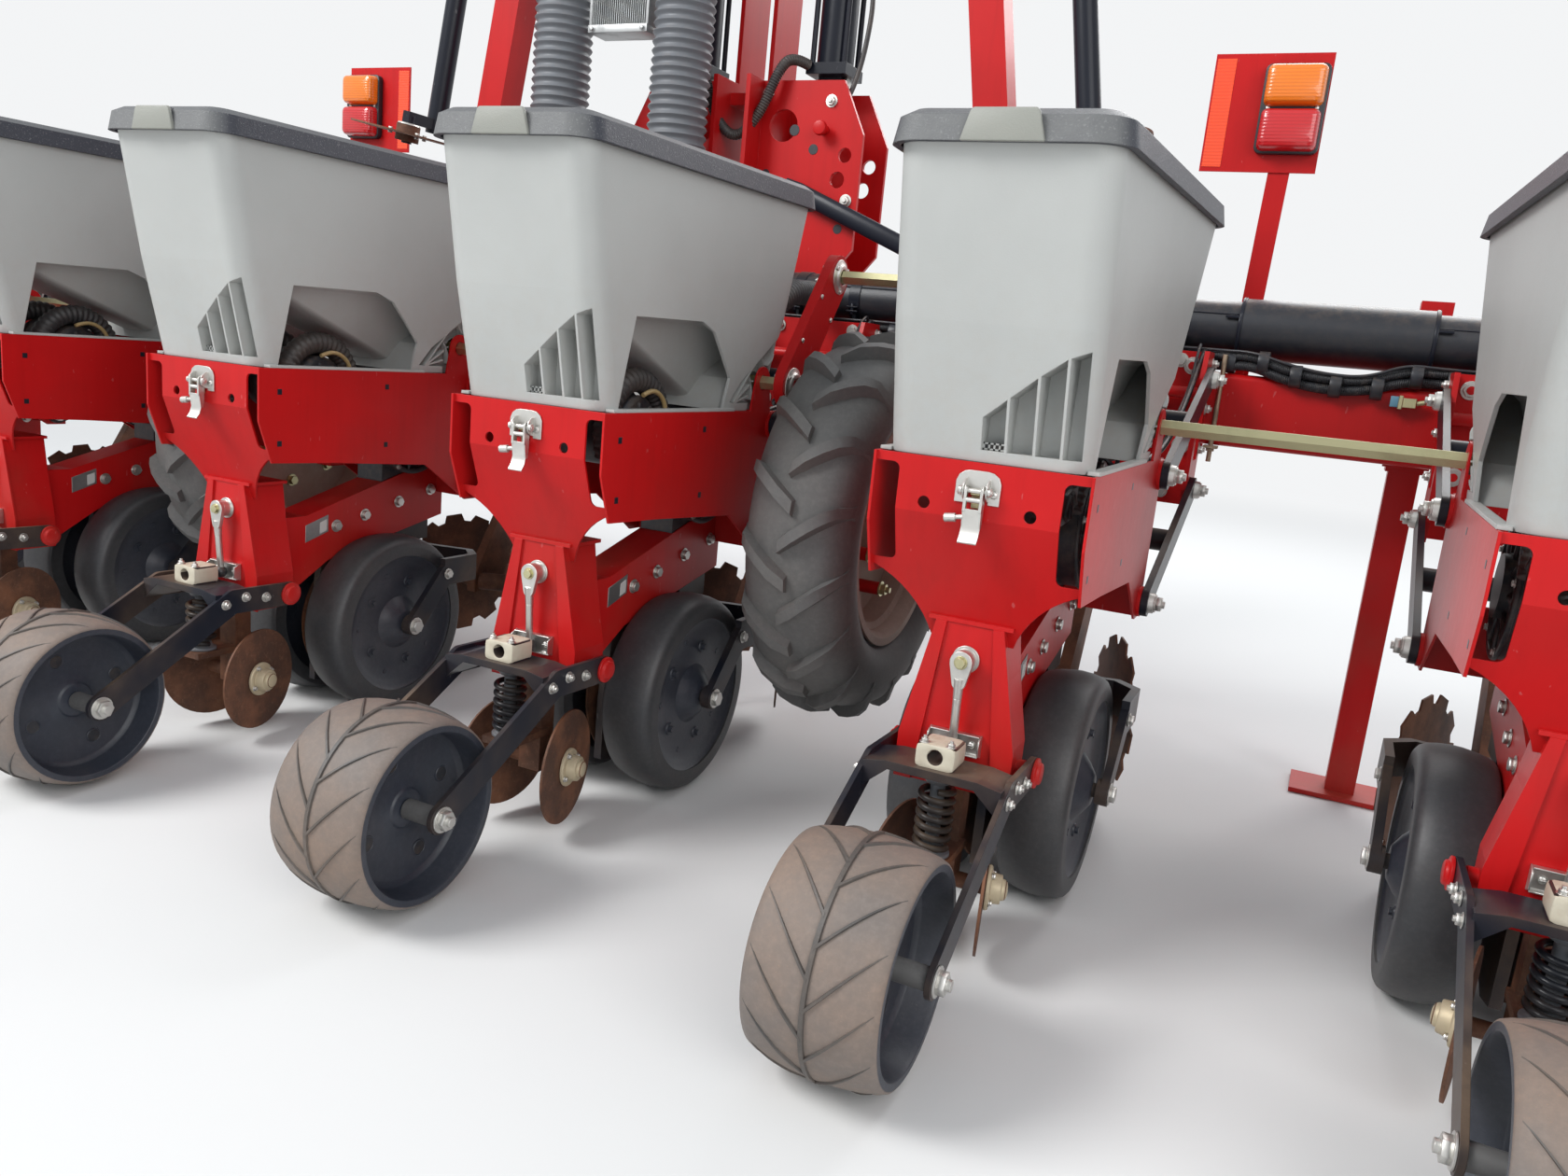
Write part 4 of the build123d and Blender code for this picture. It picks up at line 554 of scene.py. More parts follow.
def put(name, mesh, body, slot, finish=None, replaces=(), edge=0.0, smooth=35, subdivide=0):
    """Puts a finished mesh in the scene, with rounded edges, riding on a body."""
    mesh = mesh.mesh(name) if isinstance(mesh, Shape) else mesh
    piece = bpy.data.objects.new(name, mesh)
    bpy.context.scene.collection.objects.link(piece)
    if edge:
        bevel = piece.modifiers.new("edges", "BEVEL")
        bevel.width = edge
        bevel.segments = 2 if edge > 0.001 else 1
        bevel.limit_method = "ANGLE"
        bevel.angle_limit = math.radians(32)
        bevel.use_clamp_overlap = True
    if subdivide:
        piece.modifiers.new("round", "SUBSURF").levels = subdivide
        piece.modifiers["round"].render_levels = subdivide
    if edge or subdivide:
        graph = bpy.context.evaluated_depsgraph_get()
        mesh = bpy.data.meshes.new_from_object(piece.evaluated_get(graph))
        piece.modifiers.clear()
        piece.data = mesh
    mesh.shade_smooth()
    mesh.set_sharp_from_angle(angle=math.radians(smooth))
    mesh.materials.clear()
    mesh.materials.append(finish or FINISHES[slot])
    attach(piece, body)
    if replaces:
        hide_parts(*replaces)
    return piece


def moved_mesh(mesh, offset, flip=False):
    """A copy of a mesh at another place, or its mirror image there."""
    made = mesh.copy()
    turn = Matrix.Translation(Vector(offset))
    if flip:
        turn = turn @ Matrix.Diagonal((-1, 1, 1, 1))
    made.transform(turn)
    if flip:
        made.flip_normals()
    return made


def smooth_path(points, step=0.01, closed=False):
    """Points along a smooth line through a short route, for pipes and hoses that are fixed in place."""
    curve = bpy.data.curves.new("route", "CURVE")
    curve.dimensions = "3D"
    spline = curve.splines.new("NURBS")
    spline.points.add(len(points) - 1)
    for place, point in zip(spline.points, points):
        place.co = (*point, 1.0)
    spline.order_u = 3
    spline.use_endpoint_u = True
    spline.resolution_u = 12
    return curve


def piped(points, radius, name="pipe"):
    """A smooth pipe mesh along a short route."""
    curve = smooth_path(points)
    curve.bevel_depth = radius
    curve.bevel_resolution = 3
    curve.use_fill_caps = True
    host = bpy.data.objects.new(name, curve)
    bpy.context.scene.collection.objects.link(host)
    graph = bpy.context.evaluated_depsgraph_get()
    made = bpy.data.meshes.new_from_object(host.evaluated_get(graph))
    bpy.data.objects.remove(host)
    return made


def merged(name, meshes):
    """Several meshes as one."""
    whole = bmesh.new()
    for mesh in meshes:
        whole.from_mesh(mesh)
    made = bpy.data.meshes.new(name)
    whole.to_mesh(made)
    whole.free()
    return made


def ring_of(count, radius, start=0.0):
    """Angles round an axle, with their (y, z) places."""
    angles = [start + 2 * math.pi * i / count for i in range(count)]
    return [(a, radius * math.cos(a), radius * math.sin(a)) for a in angles]


def hex_bolt(radius, height, facing, washer=1.35, shank=0.0):
    """A bolt head with its washer, standing on a face at the origin and pointing one way."""
    turn = Vector(facing).to_track_quat("Z", "Y").to_matrix().to_4x4()
    bolt = Shape().bar((0, 0, 0), (0, 0, height * 0.22), radius * washer, 20)
    bolt.bar((0, 0, height * 0.2), (0, 0, height), radius, 6)
    if shank:
        bolt.bar((0, 0, height * 0.9), (0, 0, height + shank), radius * 0.5, 12)
    return bolt.turned_by(turn)


# Press wheels

PRESS_TREAD = [(-0.0849, 0.1300), (-0.0849, 0.1338), (-0.0835, 0.1362), (-0.074, 0.1402), (-0.055, 0.1442),
               (-0.030, 0.1474), (0.0, 0.1488), (0.030, 0.1474), (0.055, 0.1442), (0.074, 0.1402),
               (0.0835, 0.1362), (0.0849, 0.1338), (0.0849, 0.1300)]


def radius_on(profile, x):
    """The radius of a turned profile's outer side at one place along X."""
    for (x0, r0), (x1, r1) in zip(profile, profile[1:]):
        if x0 <= x <= x1 and x1 > x0:
            return r0 + (r1 - r0) * (x - x0) / (x1 - x0)
    return profile[-1][1]


def chevron(profile, reach, sweep, width, height, side):
    """A rib from a tyre's middle ridge back to one edge, where it tapers to nothing."""
    rings = []
    for i in range(11):
        share = i / 10
        x = side * share * reach
        r = radius_on(profile, x)
        angle = -sweep * share
        half = width * (1 - 0.7 * share) / 2 / r
        rise = height * (1 - share ** 3)
        rings.append([(x, (r + up) * math.cos(angle + turn), (r + up) * math.sin(angle + turn))
                      for turn, up in ((-half * 1.2, -0.002), (-half * 0.6, rise), (half * 0.6, rise),
                                       (half * 1.2, -0.002))])
    return Shape().loft(rings).mesh("chevron")


def repeated_round(name, base, count, finish, turn=0.0):
    """A mesh repeated evenly round the X axis by Geometry Nodes."""
    g = Growth(name, Count=12, Turn=0.0)
    points = g.node("GeometryNodePoints", inputs={0: g.given("Count")})
    index = g.node("GeometryNodeInputIndex")
    angle = index * (2 * math.pi) / g.given("Count") + g.given("Turn")
    spin = g.node("FunctionNodeEulerToRotation", inputs={0: g.vector(angle, 0.0, 0.0)})
    made = g.node("GeometryNodeInstanceOnPoints", inputs={0: points, 2: g.given(), 5: spin})
    return g.done(made, finish).mesh(base, Count=count, Turn=turn)


def press_wheels():
    tread = Shape().turned(PRESS_TREAD, 72).mesh("press tread")
    ridge = Shape().turned([(-0.0042, 0.1470), (-0.0028, 0.1515), (0.0028, 0.1515), (0.0042, 0.1470)], 72)
    count = 13
    ribs = [repeated_round("chevron ribs", chevron(PRESS_TREAD, 0.079, 0.60, 0.0085, 0.0030, side), count,
                           RIB_RUBBER, turn) for side, turn in ((-1, 0.0), (1, math.pi / count))]
    raised = merged("press ribs", [ridge.mesh("ridge")] + ribs)
    dish = [(-0.0850, 0.1340), (-0.0850, 0.1240), (-0.0780, 0.1215), (-0.0450, 0.1170), (-0.0385, 0.1090),
            (-0.0345, 0.0500), (-0.0365, 0.0310), (-0.0400, 0.0285), (-0.0400, 0.0118)]
    wheel = Shape().turned(dish + [(-x, r) for x, r in reversed(dish)], 56)
    # Dark plugs inside the four lips on each side of the disc stand in for its openings: painted shade.
    disc_shade_plugs = Shape()
    for a, y, z in ring_of(4, 0.080, 0.4):
        for side in (-1, 1):
            wheel.turned([(side * 0.0300, 0.0105), (side * 0.0378, 0.0105), (side * 0.0378, 0.0130),
                          (side * 0.0300, 0.0130)], 20, (0, y, z))
            disc_shade_plugs.bar((side * 0.0300, y, z), (side * 0.0372, y, z), 0.0107, 20)
    for n in range(1, 7):
        body = "press_wheel_%d" % n
        centre = middle_of(body)
        put("press_tyre_%d" % n, moved_mesh(tread, centre), body, "press_rubber", PRESS_RUBBER,
            replaces=(body,), smooth=40)
        put("press_ribs_%d" % n, moved_mesh(raised, centre), body, "press_rubber", RIB_RUBBER, smooth=40)
        put("press_disc_%d" % n, wheel.moved(centre), body, "press_rubber", SIDEWALL, edge=0.0008)
        put("press_disc_holes_%d" % n, disc_shade_plugs.moved(centre), body, "black_plastic")


# Gauge wheels

def gauge_wheels():
    tread = [(0.043, 0.150), (0.043, 0.1775), (0.046, 0.181), (0.052, 0.1835), (0.066, 0.1875), (0.086, 0.191),
             (0.100, 0.1918), (0.118, 0.1905), (0.132, 0.1875), (0.1405, 0.183), (0.1452, 0.176), (0.146, 0.168),
             (0.146, 0.150)]
    tyre = Shape().turned(tread, 80)
    dish = [(0.1425, 0.1505), (0.139, 0.1475), (0.1365, 0.141), (0.133, 0.134), (0.1285, 0.124), (0.1270, 0.095),
            (0.1285, 0.058), (0.135, 0.050), (0.141, 0.044), (0.146, 0.036), (0.150, 0.030), (0.153, 0.0255),
            (0.153, 0.0125), (0.056, 0.0125), (0.056, 0.040), (0.080, 0.048), (0.112, 0.060), (0.114, 0.124),
            (0.100, 0.146), (0.060, 0.1505)]
    disc = Shape().turned(dish, 64)
    for a, y, z in ring_of(5, 0.092):
        disc.bar((0.126, y, z), (0.1305, y, z), 0.013, 20, 0.011)
        disc.join(hex_bolt(0.006, 0.006, (1, 0, 0), washer=1.2).moved((0.1303, y, z)))
    for a, y, z in ring_of(5, 0.112, math.pi / 5):
        disc.bar((0.1262, y, z), (0.1292, y, z), 0.0065, 14, 0.005)
    for n in range(1, 7):
        body = "gauge_wheels_%d" % n
        centre = middle_of(body)
        pair = Shape().join(tyre).join(tyre.mirrored())
        put("gauge_tyres_%d" % n, pair.moved(centre), body, "gauge_rubber", replaces=(body,), smooth=40)
        pair = Shape().join(disc).join(disc.mirrored())
        put("gauge_discs_%d" % n, pair.moved(centre), body, "gauge_rubber", SIDEWALL)


# Drive wheels

DRIVE_TREAD = [(-0.071, 0.2055), (-0.071, 0.221), (-0.082, 0.230), (-0.093, 0.244), (-0.098, 0.264),
               (-0.097, 0.287), (-0.091, 0.308), (-0.080, 0.326), (-0.060, 0.3385), (-0.030, 0.3455),
               (0.0, 0.348), (0.030, 0.3455), (0.060, 0.3385), (0.080, 0.326), (0.091, 0.308), (0.097, 0.287),
               (0.098, 0.264), (0.093, 0.244), (0.082, 0.230), (0.071, 0.221), (0.071, 0.2055)]


def tractor_lug(side):
    """One slanting bar from past the middle line to the shoulder, where it runs down the side."""
    rings = []
    path = [(-0.008, 0.0, 0.0), (0.020, 0.060, 1.0), (0.045, 0.115, 1.0), (0.066, 0.160, 0.98), (0.082, 0.190, 0.9),
            (0.0935, 0.212, 0.55), (0.0975, 0.222, 0.1)]
    for x, sweep, share in path:
        r = radius_on(DRIVE_TREAD[7:], max(x, 0.0)) if x < 0.0935 else 0.295
        top = min(0.3695, r + 0.023 * (0.55 + 0.45 * share)) if x < 0.08 else r + 0.020 * share + 0.002
        angle = -sweep
        wide = 0.017 if x < 0.07 else 0.014
        rings.append([(side * x, radius * math.cos(angle + turn / r), radius * math.sin(angle + turn / r))
                      for turn, radius in ((-wide, r - 0.006), (-wide * 0.62, top), (wide * 0.62, top),
                                           (wide, r - 0.006))])
    return Shape().loft(rings)


def drive_wheels():
    carcass = Shape().turned(DRIVE_TREAD, 96).mesh("carcass")
    left, right = tractor_lug(-1).mesh("lug"), tractor_lug(1).mesh("lug")
    count = 17
    lugs = [repeated_round("lugs", base, count, FINISHES["lug_rubber"], turn)
            for base, turn in ((left, 0.0), (right, math.pi / count))]
    tyre = merged("lugged tyre", [carcass] + lugs)
    flange = [(-0.080, 0.219), (-0.080, 0.205), (-0.070, 0.196), (-0.052, 0.192), (-0.046, 0.180), (-0.010, 0.176),
              (0.010, 0.176), (0.046, 0.180), (0.052, 0.192), (0.070, 0.196), (0.080, 0.205), (0.080, 0.219),
              (0.075, 0.2195), (0.071, 0.2052), (0.050, 0.202), (0.0, 0.198), (-0.050, 0.202), (-0.071, 0.2052),
              (-0.075, 0.2195)]
    plate = [(-0.006, 0.178), (-0.010, 0.150), (-0.004, 0.110), (-0.005, 0.053), (0.005, 0.053), (0.006, 0.110),
             (0.000, 0.150), (0.004, 0.178)]
    rim = Shape().turned(flange, 80).turned(plate, 64)
    hub = [(-0.069, 0.050), (-0.066, 0.052), (0.066, 0.052), (0.069, 0.050), (0.069, 0.0256), (-0.069, 0.0256)]
    rim.turned(hub, 40)
    for name, side in SIDES:
        body = "drive_wheel_" + name
        centre = middle_of("drive_tyre_" + name)
        put("drive_lugs_" + name, moved_mesh(tyre, centre, side < 0), body, "lug_rubber",
            replaces=("drive_tyre_" + name,), smooth=38)
        put("drive_wheel_rim_" + name, rim.moved(centre), body, "rim_paint", replaces=("drive_rim_" + name,))
        spacers, nuts = Shape(), Shape()
        for a, y, z in ring_of(6, 0.112, 0.3):
            spacers.bar((0.004, y, z), (0.060, y, z), 0.0125, 18)
            nuts.join(hex_bolt(0.011, 0.012, (1, 0, 0), shank=0.008).moved((0.060, y, z)))
            nuts.join(hex_bolt(0.011, 0.012, (-1, 0, 0)).moved((-0.005, y, z)))
        put("drive_wheel_spacers_" + name, (spacers if side > 0 else spacers.mirrored()).moved(centre), body,
            "red_paint")
        put("drive_wheel_nuts_" + name, (nuts if side > 0 else nuts.mirrored()).moved(centre), body, "zinc")


# Springs and hoses

def spiral(name, finish):
    """A coil of round wire standing on the origin along Z."""
    g = Growth(name, Turns=6.0, Height=0.1, Radius=0.03, Wire=0.004)
    inputs = {"Resolution": 22, "Rotations": g.given("Turns"), "Start Radius": g.given("Radius"),
              "End Radius": g.given("Radius"), "Height": g.given("Height")}
    line = g.node("GeometryNodeCurveSpiral", inputs=inputs)
    ring = g.node("GeometryNodeCurvePrimitiveCircle", {"mode": "RADIUS"}, {"Resolution": 9, "Radius": g.given("Wire")})
    wire = g.node("GeometryNodeCurveToMesh", inputs={"Curve": line, "Profile Curve": ring, "Fill Caps": True})
    return g.done(wire, finish)


def stood(mesh, start, end):
    """A mesh drawn along Z from the origin, moved to run from one point towards another."""
    start, end = Vector(start), Vector(end)
    turn = (end - start).to_track_quat("Z", "Y").to_matrix().to_4x4()
    made = mesh.copy()
    made.transform(Matrix.Translation(start) @ turn)
    return made


def corrugated(name, finish):
    """A hose with round ribs along a curve."""
    g = Growth(name, Radius=0.02, Pitch=0.01, Depth=0.08, Sides=18)
    pitch = g.given("Pitch")
    line = g.node("GeometryNodeResampleCurve", {"mode": "LENGTH"}, {"Curve": g.given(), "Length": pitch / 5.0})
    along = g.node("GeometryNodeSplineParameter", output="Length")
    wave = (along * (2 * math.pi) / pitch).sine() * g.given("Depth") + 1.0
    ring = g.node("GeometryNodeCurvePrimitiveCircle", {"mode": "RADIUS"},
                  {"Resolution": g.given("Sides"), "Radius": g.given("Radius")})
    skin = g.node("GeometryNodeCurveToMesh",
                  inputs={"Curve": line, "Profile Curve": ring, "Scale": wave, "Fill Caps": True})
    return g.done(skin, finish)


# Small forms that several pieces share

def dome(radius, height, facing):
    """A round bolt or rivet head with a thin collar."""
    turn = Vector(facing).to_track_quat("Z", "Y").to_matrix().to_4x4()
    rings = []
    for share in (0.0, 0.25, 0.5, 0.72, 0.9, 0.985):
        size = radius * math.sqrt(max(0.0, 1 - share ** 2.6))
        rings.append([(size * math.cos(2 * math.pi * i / 16), size * math.sin(2 * math.pi * i / 16), height * share)
                      for i in range(16)])
    return Shape().loft(rings).turned_by(turn)


def round_link(start, start_radius, end, end_radius, steps=10):
    """The outline round two circles, as (a, b) points."""
    (a0, b0), (a1, b1) = start, end
    heading = math.atan2(b1 - b0, a1 - a0)
    lean = math.acos((start_radius - end_radius) / math.hypot(a1 - a0, b1 - b0))
    points = []
    for (a, b), radius, low, high in ((start, start_radius, heading + lean, heading + 2 * math.pi - lean),
                                      (end, end_radius, heading - lean, heading + lean)):
        for i in range(steps + 1):
            angle = low + (high - low) * i / steps
            points.append((a + radius * math.cos(angle), b + radius * math.sin(angle)))
    return points


def pierced_block(half_a, half_b, hole, low, high, centre, steps=32):
    """A rounded block across Y with a round hole through it."""
    cx, cz = centre
    rings = []
    for i in range(steps):
        angle = 2 * math.pi * (i + 0.5) / steps
        c, s = math.cos(angle), math.sin(angle)
        reach = (abs(c / half_a) ** 8 + abs(s / half_b) ** 8) ** (-1 / 8)
        rings.append([(cx + reach * c, low, cz + reach * s), (cx + reach * c, high, cz + reach * s),
                      (cx + hole * c, high, cz + hole * s), (cx + hole * c, low, cz + hole * s)])
    return Shape().loft(rings, closed=True)


def both_sides(shape):
    return Shape().join(shape).join(shape.mirrored())


def on_rows(name, shape, slot, finish=None, replaces=(), edge=0.0, smooth=35):
    """A fixed detail of one row, repeated on all six."""
    return put(name, shape.copies(ROWS), "frame", slot, finish, replaces, edge, smooth)


# Catches that hold the hoppers, one at the middle of each row's rear plate

def latches():
    plate = [(-0.031, 0.682), (-0.031, 0.711), (-0.0275, 0.7195), (-0.020, 0.7250), (-0.012, 0.7265), (0.012, 0.7265),
             (0.020, 0.7250), (0.0275, 0.7195), (0.031, 0.711), (0.031, 0.682), (0.0155, 0.682), (0.0145, 0.693),
             (0.008, 0.700), (-0.008, 0.700), (-0.0145, 0.693), (-0.0155, 0.682)]
    zinc = Shape().prism(plate, -1.1720, -1.1695, "Y")
    ear = [(-1.1715, 0.686), (-1.1715, 0.716), (-1.178, 0.7155), (-1.1865, 0.7085), (-1.1885, 0.700),
           (-1.1865, 0.6925), (-1.179, 0.687)]
    lever_side = [(-1.1790, 0.7065), (-1.1870, 0.7085), (-1.1905, 0.7035), (-1.1905, 0.690), (-1.1880, 0.668),
                  (-1.1850, 0.650), (-1.1790, 0.650), (-1.1770, 0.668), (-1.1770, 0.690)]
    for low, high in ((0.0150, 0.0172), (-0.0172, -0.0150)):
        zinc.prism(ear, low, high)
    for low, high in ((0.0112, 0.0130), (-0.0130, -0.0112)):
        zinc.prism(lever_side, low, high)
    flap = [(-1.1890, 0.676), (-1.1880, 0.668), (-1.1850, 0.652), (-1.1885, 0.640), (-1.1950, 0.6315),
            (-1.1935, 0.6295), (-1.1865, 0.6385), (-1.1828, 0.652), (-1.1858, 0.668), (-1.1868, 0.676)]
    zinc.prism(flap, -0.0132, 0.0132)
    for side in (-1, 1):
        rail = [(-1.1900, 0.7045), (-1.1900, 0.672), (-1.1840, 0.672), (-1.1840, 0.7045)]
        zinc.prism(rail, *sorted((side * 0.0090, side * 0.0132)))
    zinc.bar((-0.0120, -1.1865, 0.6880), (0.0120, -1.1865, 0.6880), 0.0036, 14)
    zinc.bar((-0.0235, -1.1830, 0.700), (0.0235, -1.1830, 0.700), 0.0034, 14)
    for low, high in ((0.0176, 0.0222), (-0.0222, -0.0176)):
        zinc.bar((low, -1.1830, 0.700), (high, -1.1830, 0.700), 0.0058, 18)
    zinc.bar((-0.0120, -1.1850, 0.664), (-0.0260, -1.1850, 0.662), 0.0034, 12)
    zinc.bar((-0.0215, -1.1850, 0.662), (-0.0370, -1.1850, 0.660), 0.0062, 18)
    for x in (-0.0228, 0.0228):
        zinc.join(dome(0.0054, 0.0036, (0, -1, 0)).moved((x, -1.1718, 0.6965)))
        zinc.box((x - 0.0048, -1.1760, 0.6960), (x + 0.0048, -1.1750, 0.6970))
    on_rows("hopper_catches", zinc, "cast_zinc", replaces=("latches",), edge=0.0005)
    hook = [(-1.1700, 0.676), (-1.1700, 0.690), (-1.1760, 0.6985), (-1.1812, 0.6985), (-1.1812, 0.6945),
            (-1.1770, 0.6935), (-1.1740, 0.688), (-1.1740, 0.676)]
    on_rows("catch_hooks", Shape().prism(hook, -0.0065, 0.0065), "zinc", edge=0.0006)


# Depth cranks on the gear boxes of the rows

def cranks():
    back = -1.1183
    channel = [(back, 0.317), (back - 0.0110, 0.317), (back - 0.0110, 0.3192), (back - 0.0024, 0.3200),
               (back - 0.0024, 0.3460), (back - 0.0110, 0.3468), (back - 0.0110, 0.349), (back, 0.349)]
    zinc = Shape().prism(channel, -0.0365, 0.0365)
    wing = [(back, 0.3165), (back - 0.0025, 0.3165), (back - 0.0165, 0.3225), (back - 0.0165, 0.3435),
            (back - 0.0025, 0.3495), (back, 0.3495)]
    for low, high in ((0.0365, 0.0388), (-0.0388, -0.0365)):
        zinc.prism(wing, low, high)
    for x in (-0.0245, 0.0245):
        zinc.join(dome(0.0056, 0.0042, (0, -1, 0)).moved((x, back - 0.0022, 0.333)))
        zinc.box((x - 0.0050, back - 0.0068, 0.3324), (x + 0.0050, back - 0.0055, 0.3336))
    zinc.bar((0, back, 0.455), (0, back - 0.0030, 0.455), 0.0200, 28)
    zinc.bar((0, back, 0.455), (0, back - 0.0175, 0.455), 0.0160, 28, 0.0150)
    eye = round_link((0.0, 0.455), 0.0165, (0.0, 0.425), 0.0100)
    zinc.prism(eye, back - 0.0260, back - 0.0180, "Y")
    zinc.bar((0, back - 0.0222, 0.432), (0, back - 0.0200, 0.402), 0.0078, 14, 0.0066)
    zinc.bar((0, back - 0.0200, 0.402), (0, back - 0.0148, 0.338), 0.0063, 14)
    on_rows("depth_cranks", zinc, "cast_zinc", replaces=("crank_handles",), edge=0.0006)
    pin = hex_bolt(0.0080, 0.0060, (0, -1, 0), washer=1.25).moved((0, back - 0.0258, 0.455))
    on_rows("crank_pins", pin, "zinc", edge=0.0004)
    ball = [(0.0, 0.0058), (0.003, 0.0060)]
    for i in range(9):
        angle = -1.15 + i * (1.15 + math.pi / 2 - 0.12) / 8
        ball.append((0.0145 + 0.0118 * math.sin(angle), 0.0118 * math.cos(angle)))
    knob = Shape().turned(ball, 24, closed=False)
    turn = Matrix.Translation((0, back - 0.0150, 0.3440)) @ Matrix.Rotation(math.pi / 2, 4, "Y")
    on_rows("crank_balls", knob.turned_by(turn), "black_plastic", smooth=60)


# Press wheel forks: nut block, bolts, axle sleeves and caps

def fork_details():
    caps = both_sides(Shape().turned([(0.0915, 0.0140), (0.1062, 0.0140), (0.1062, 0.0225), (0.1110, 0.0225),
                                      (0.1122, 0.0170), (0.1160, 0.0160), (0.1172, 0.0140), (0.1172, 0.0002),
                                      (0.0915, 0.0002)], 28,
                                     (0, -1.0595, 0.293)))
    on_rows("fork_caps", caps, "red_paint", edge=0.0008)
    zinc = Shape()
    for y, z in ((-1.1180, 0.2950), (-1.1640, 0.3020), (-1.2080, 0.2930)):
        zinc.join(hex_bolt(0.0072, 0.0075, (1, 0, 0), shank=0.003).moved((0.1062, y, z)))
    zinc.join(hex_bolt(0.0150, 0.0130, (1, 0, 0), washer=1.3, shank=0.006).moved((0.1062, -1.4545, 0.152)))
    zinc = both_sides(zinc)
    for x in (-0.0190, 0.0190):
        zinc.join(hex_bolt(0.0055, 0.0060, (0, 0, 1), shank=0.004).moved((x, -1.2050, 0.3512)))
    on_rows("fork_bolts", zinc, "cast_zinc", edge=0.0004)
    sleeve = Shape().turned([(0.0415, 0.0125), (0.0415, 0.0150), (0.0978, 0.0150), (0.0978, 0.0125)], 32,
                            (0, -1.4545, 0.152))
    on_rows("press_axle_sleeves", both_sides(sleeve), "zinc", SLEEVE_STEEL, edge=0.0006)
    nut = pierced_block(0.0280, 0.0172, 0.0112, -1.2130, -1.1612, (0.0, 0.3341))
    on_rows("fork_nut_blocks", nut, "cast_zinc", CREAM, edge=0.0012)


# Coil springs: one stands on each fork, one slants between each pair of arms

def springs():
    coil = spiral("coil", FINISHES["spring_steel"])
    press = coil.mesh(Turns=6.2, Height=0.086, Radius=0.0228, Wire=0.0048)
    down = coil.mesh(Turns=11.0, Height=0.300, Radius=0.0245, Wire=0.0050)
    top, foot = Vector((0, -0.122, 0.850)), Vector((0, -0.372, 0.570))
    way = (foot - top).normalized()
    coils = []
    for row in ROWS:
        coils.append(moved_mesh(press, row + Vector((0, -1.178, 0.1955))))
        coils.append(moved_mesh(stood(down, top + way * 0.036, foot), row))
    put("spring_coils", merged("spring coils", coils), "frame", "spring_steel", replaces=("springs",), smooth=60)
    steel = Shape()
    steel.bar(top, top + way * 0.040, 0.0290, 28, 0.0265)
    steel.bar(foot - way * 0.040, foot, 0.0265, 28, 0.0290)
    steel.bar(top + way * 0.030, foot - way * 0.030, 0.0125, 16)
    on_rows("spring_seats", steel, "spring_steel", edge=0.001)
    grey = Shape().turned([(0.1825, 0.0), (0.1825, 0.0275), (0.1870, 0.0275), (0.1890, 0.0215), (0.1985, 0.0175),
                           (0.1990, 0.0105), (0.2880, 0.0105), (0.2885, 0.0170), (0.2960, 0.0225), (0.2975, 0.0278),
                           (0.3055, 0.0278), (0.3055, 0.0)], 32)
    upright = Matrix.Translation((0, -1.178, 0)) @ Matrix.Rotation(-math.pi / 2, 4, "Y")
    on_rows("press_spring_cups", grey.turned_by(upright), "cast_zinc", GREY_HOSE, edge=0.0006)


# Closing discs, cleaners and gauge arms: hubs, caps and bolts

def hubs():
    beige, bolts = Shape(), Shape()
    flange = [(0.0032, 0.0), (0.0032, 0.0335), (0.0070, 0.0335), (0.0095, 0.0315), (0.0100, 0.0235), (0.0240, 0.0215),
              (0.0255, 0.0205), (0.0262, 0.0)]
    cap = [(0.0250, 0.0), (0.0250, 0.0160), (0.0290, 0.0155), (0.0325, 0.0125), (0.0342, 0.0070), (0.0346, 0.0)]
    turn = Matrix.Translation((0.066, -1.100, 0.118)) @ Matrix.Rotation(math.radians(12), 4, "Z")
    beige.join(Shape().turned(flange, 36).turned(cap, 28).turned_by(turn))
    for a, y, z in ring_of(4, 0.0275, 0.5):
        bolts.join(hex_bolt(0.0042, 0.0052, (1, 0, 0)).moved((0.0093, y, z)).turned_by(turn))
    on_rows("closing_hub_caps", both_sides(beige), "zinc", HUB_CAP, edge=0.0006)
    turn = Matrix.Translation((0.098, -0.330, 0.205)) @ Matrix.Rotation(math.radians(25), 4, "Z")
    cleaner = Shape().turned([(0.0022, 0.0), (0.0022, 0.0420), (0.0065, 0.0420), (0.0075, 0.0300), (0.0180, 0.0270),
                              (0.0235, 0.0240), (0.0265, 0.0160), (0.0270, 0.0)], 32)
    on_rows("cleaner_hub_caps", both_sides(cleaner.turned_by(turn)), "zinc", HUB_CAP, edge=0.0008)
    for a, y, z in ring_of(5, 0.0345, 0.2):
        bolts.join(hex_bolt(0.0042, 0.0050, (1, 0, 0)).moved((0.0065, y, z)).turned_by(turn))
    bolts.join(hex_bolt(0.0140, 0.0100, (1, 0, 0)).moved((0.1803, -0.787, 0.192)))
    bolts.join(hex_bolt(0.0090, 0.0080, (1, 0, 0)).moved((0.1803, -0.690, 0.296)))
    on_rows("hub_bolts", both_sides(bolts), "cast_zinc", edge=0.0004)


# Bolts of the row frames, arms and heads

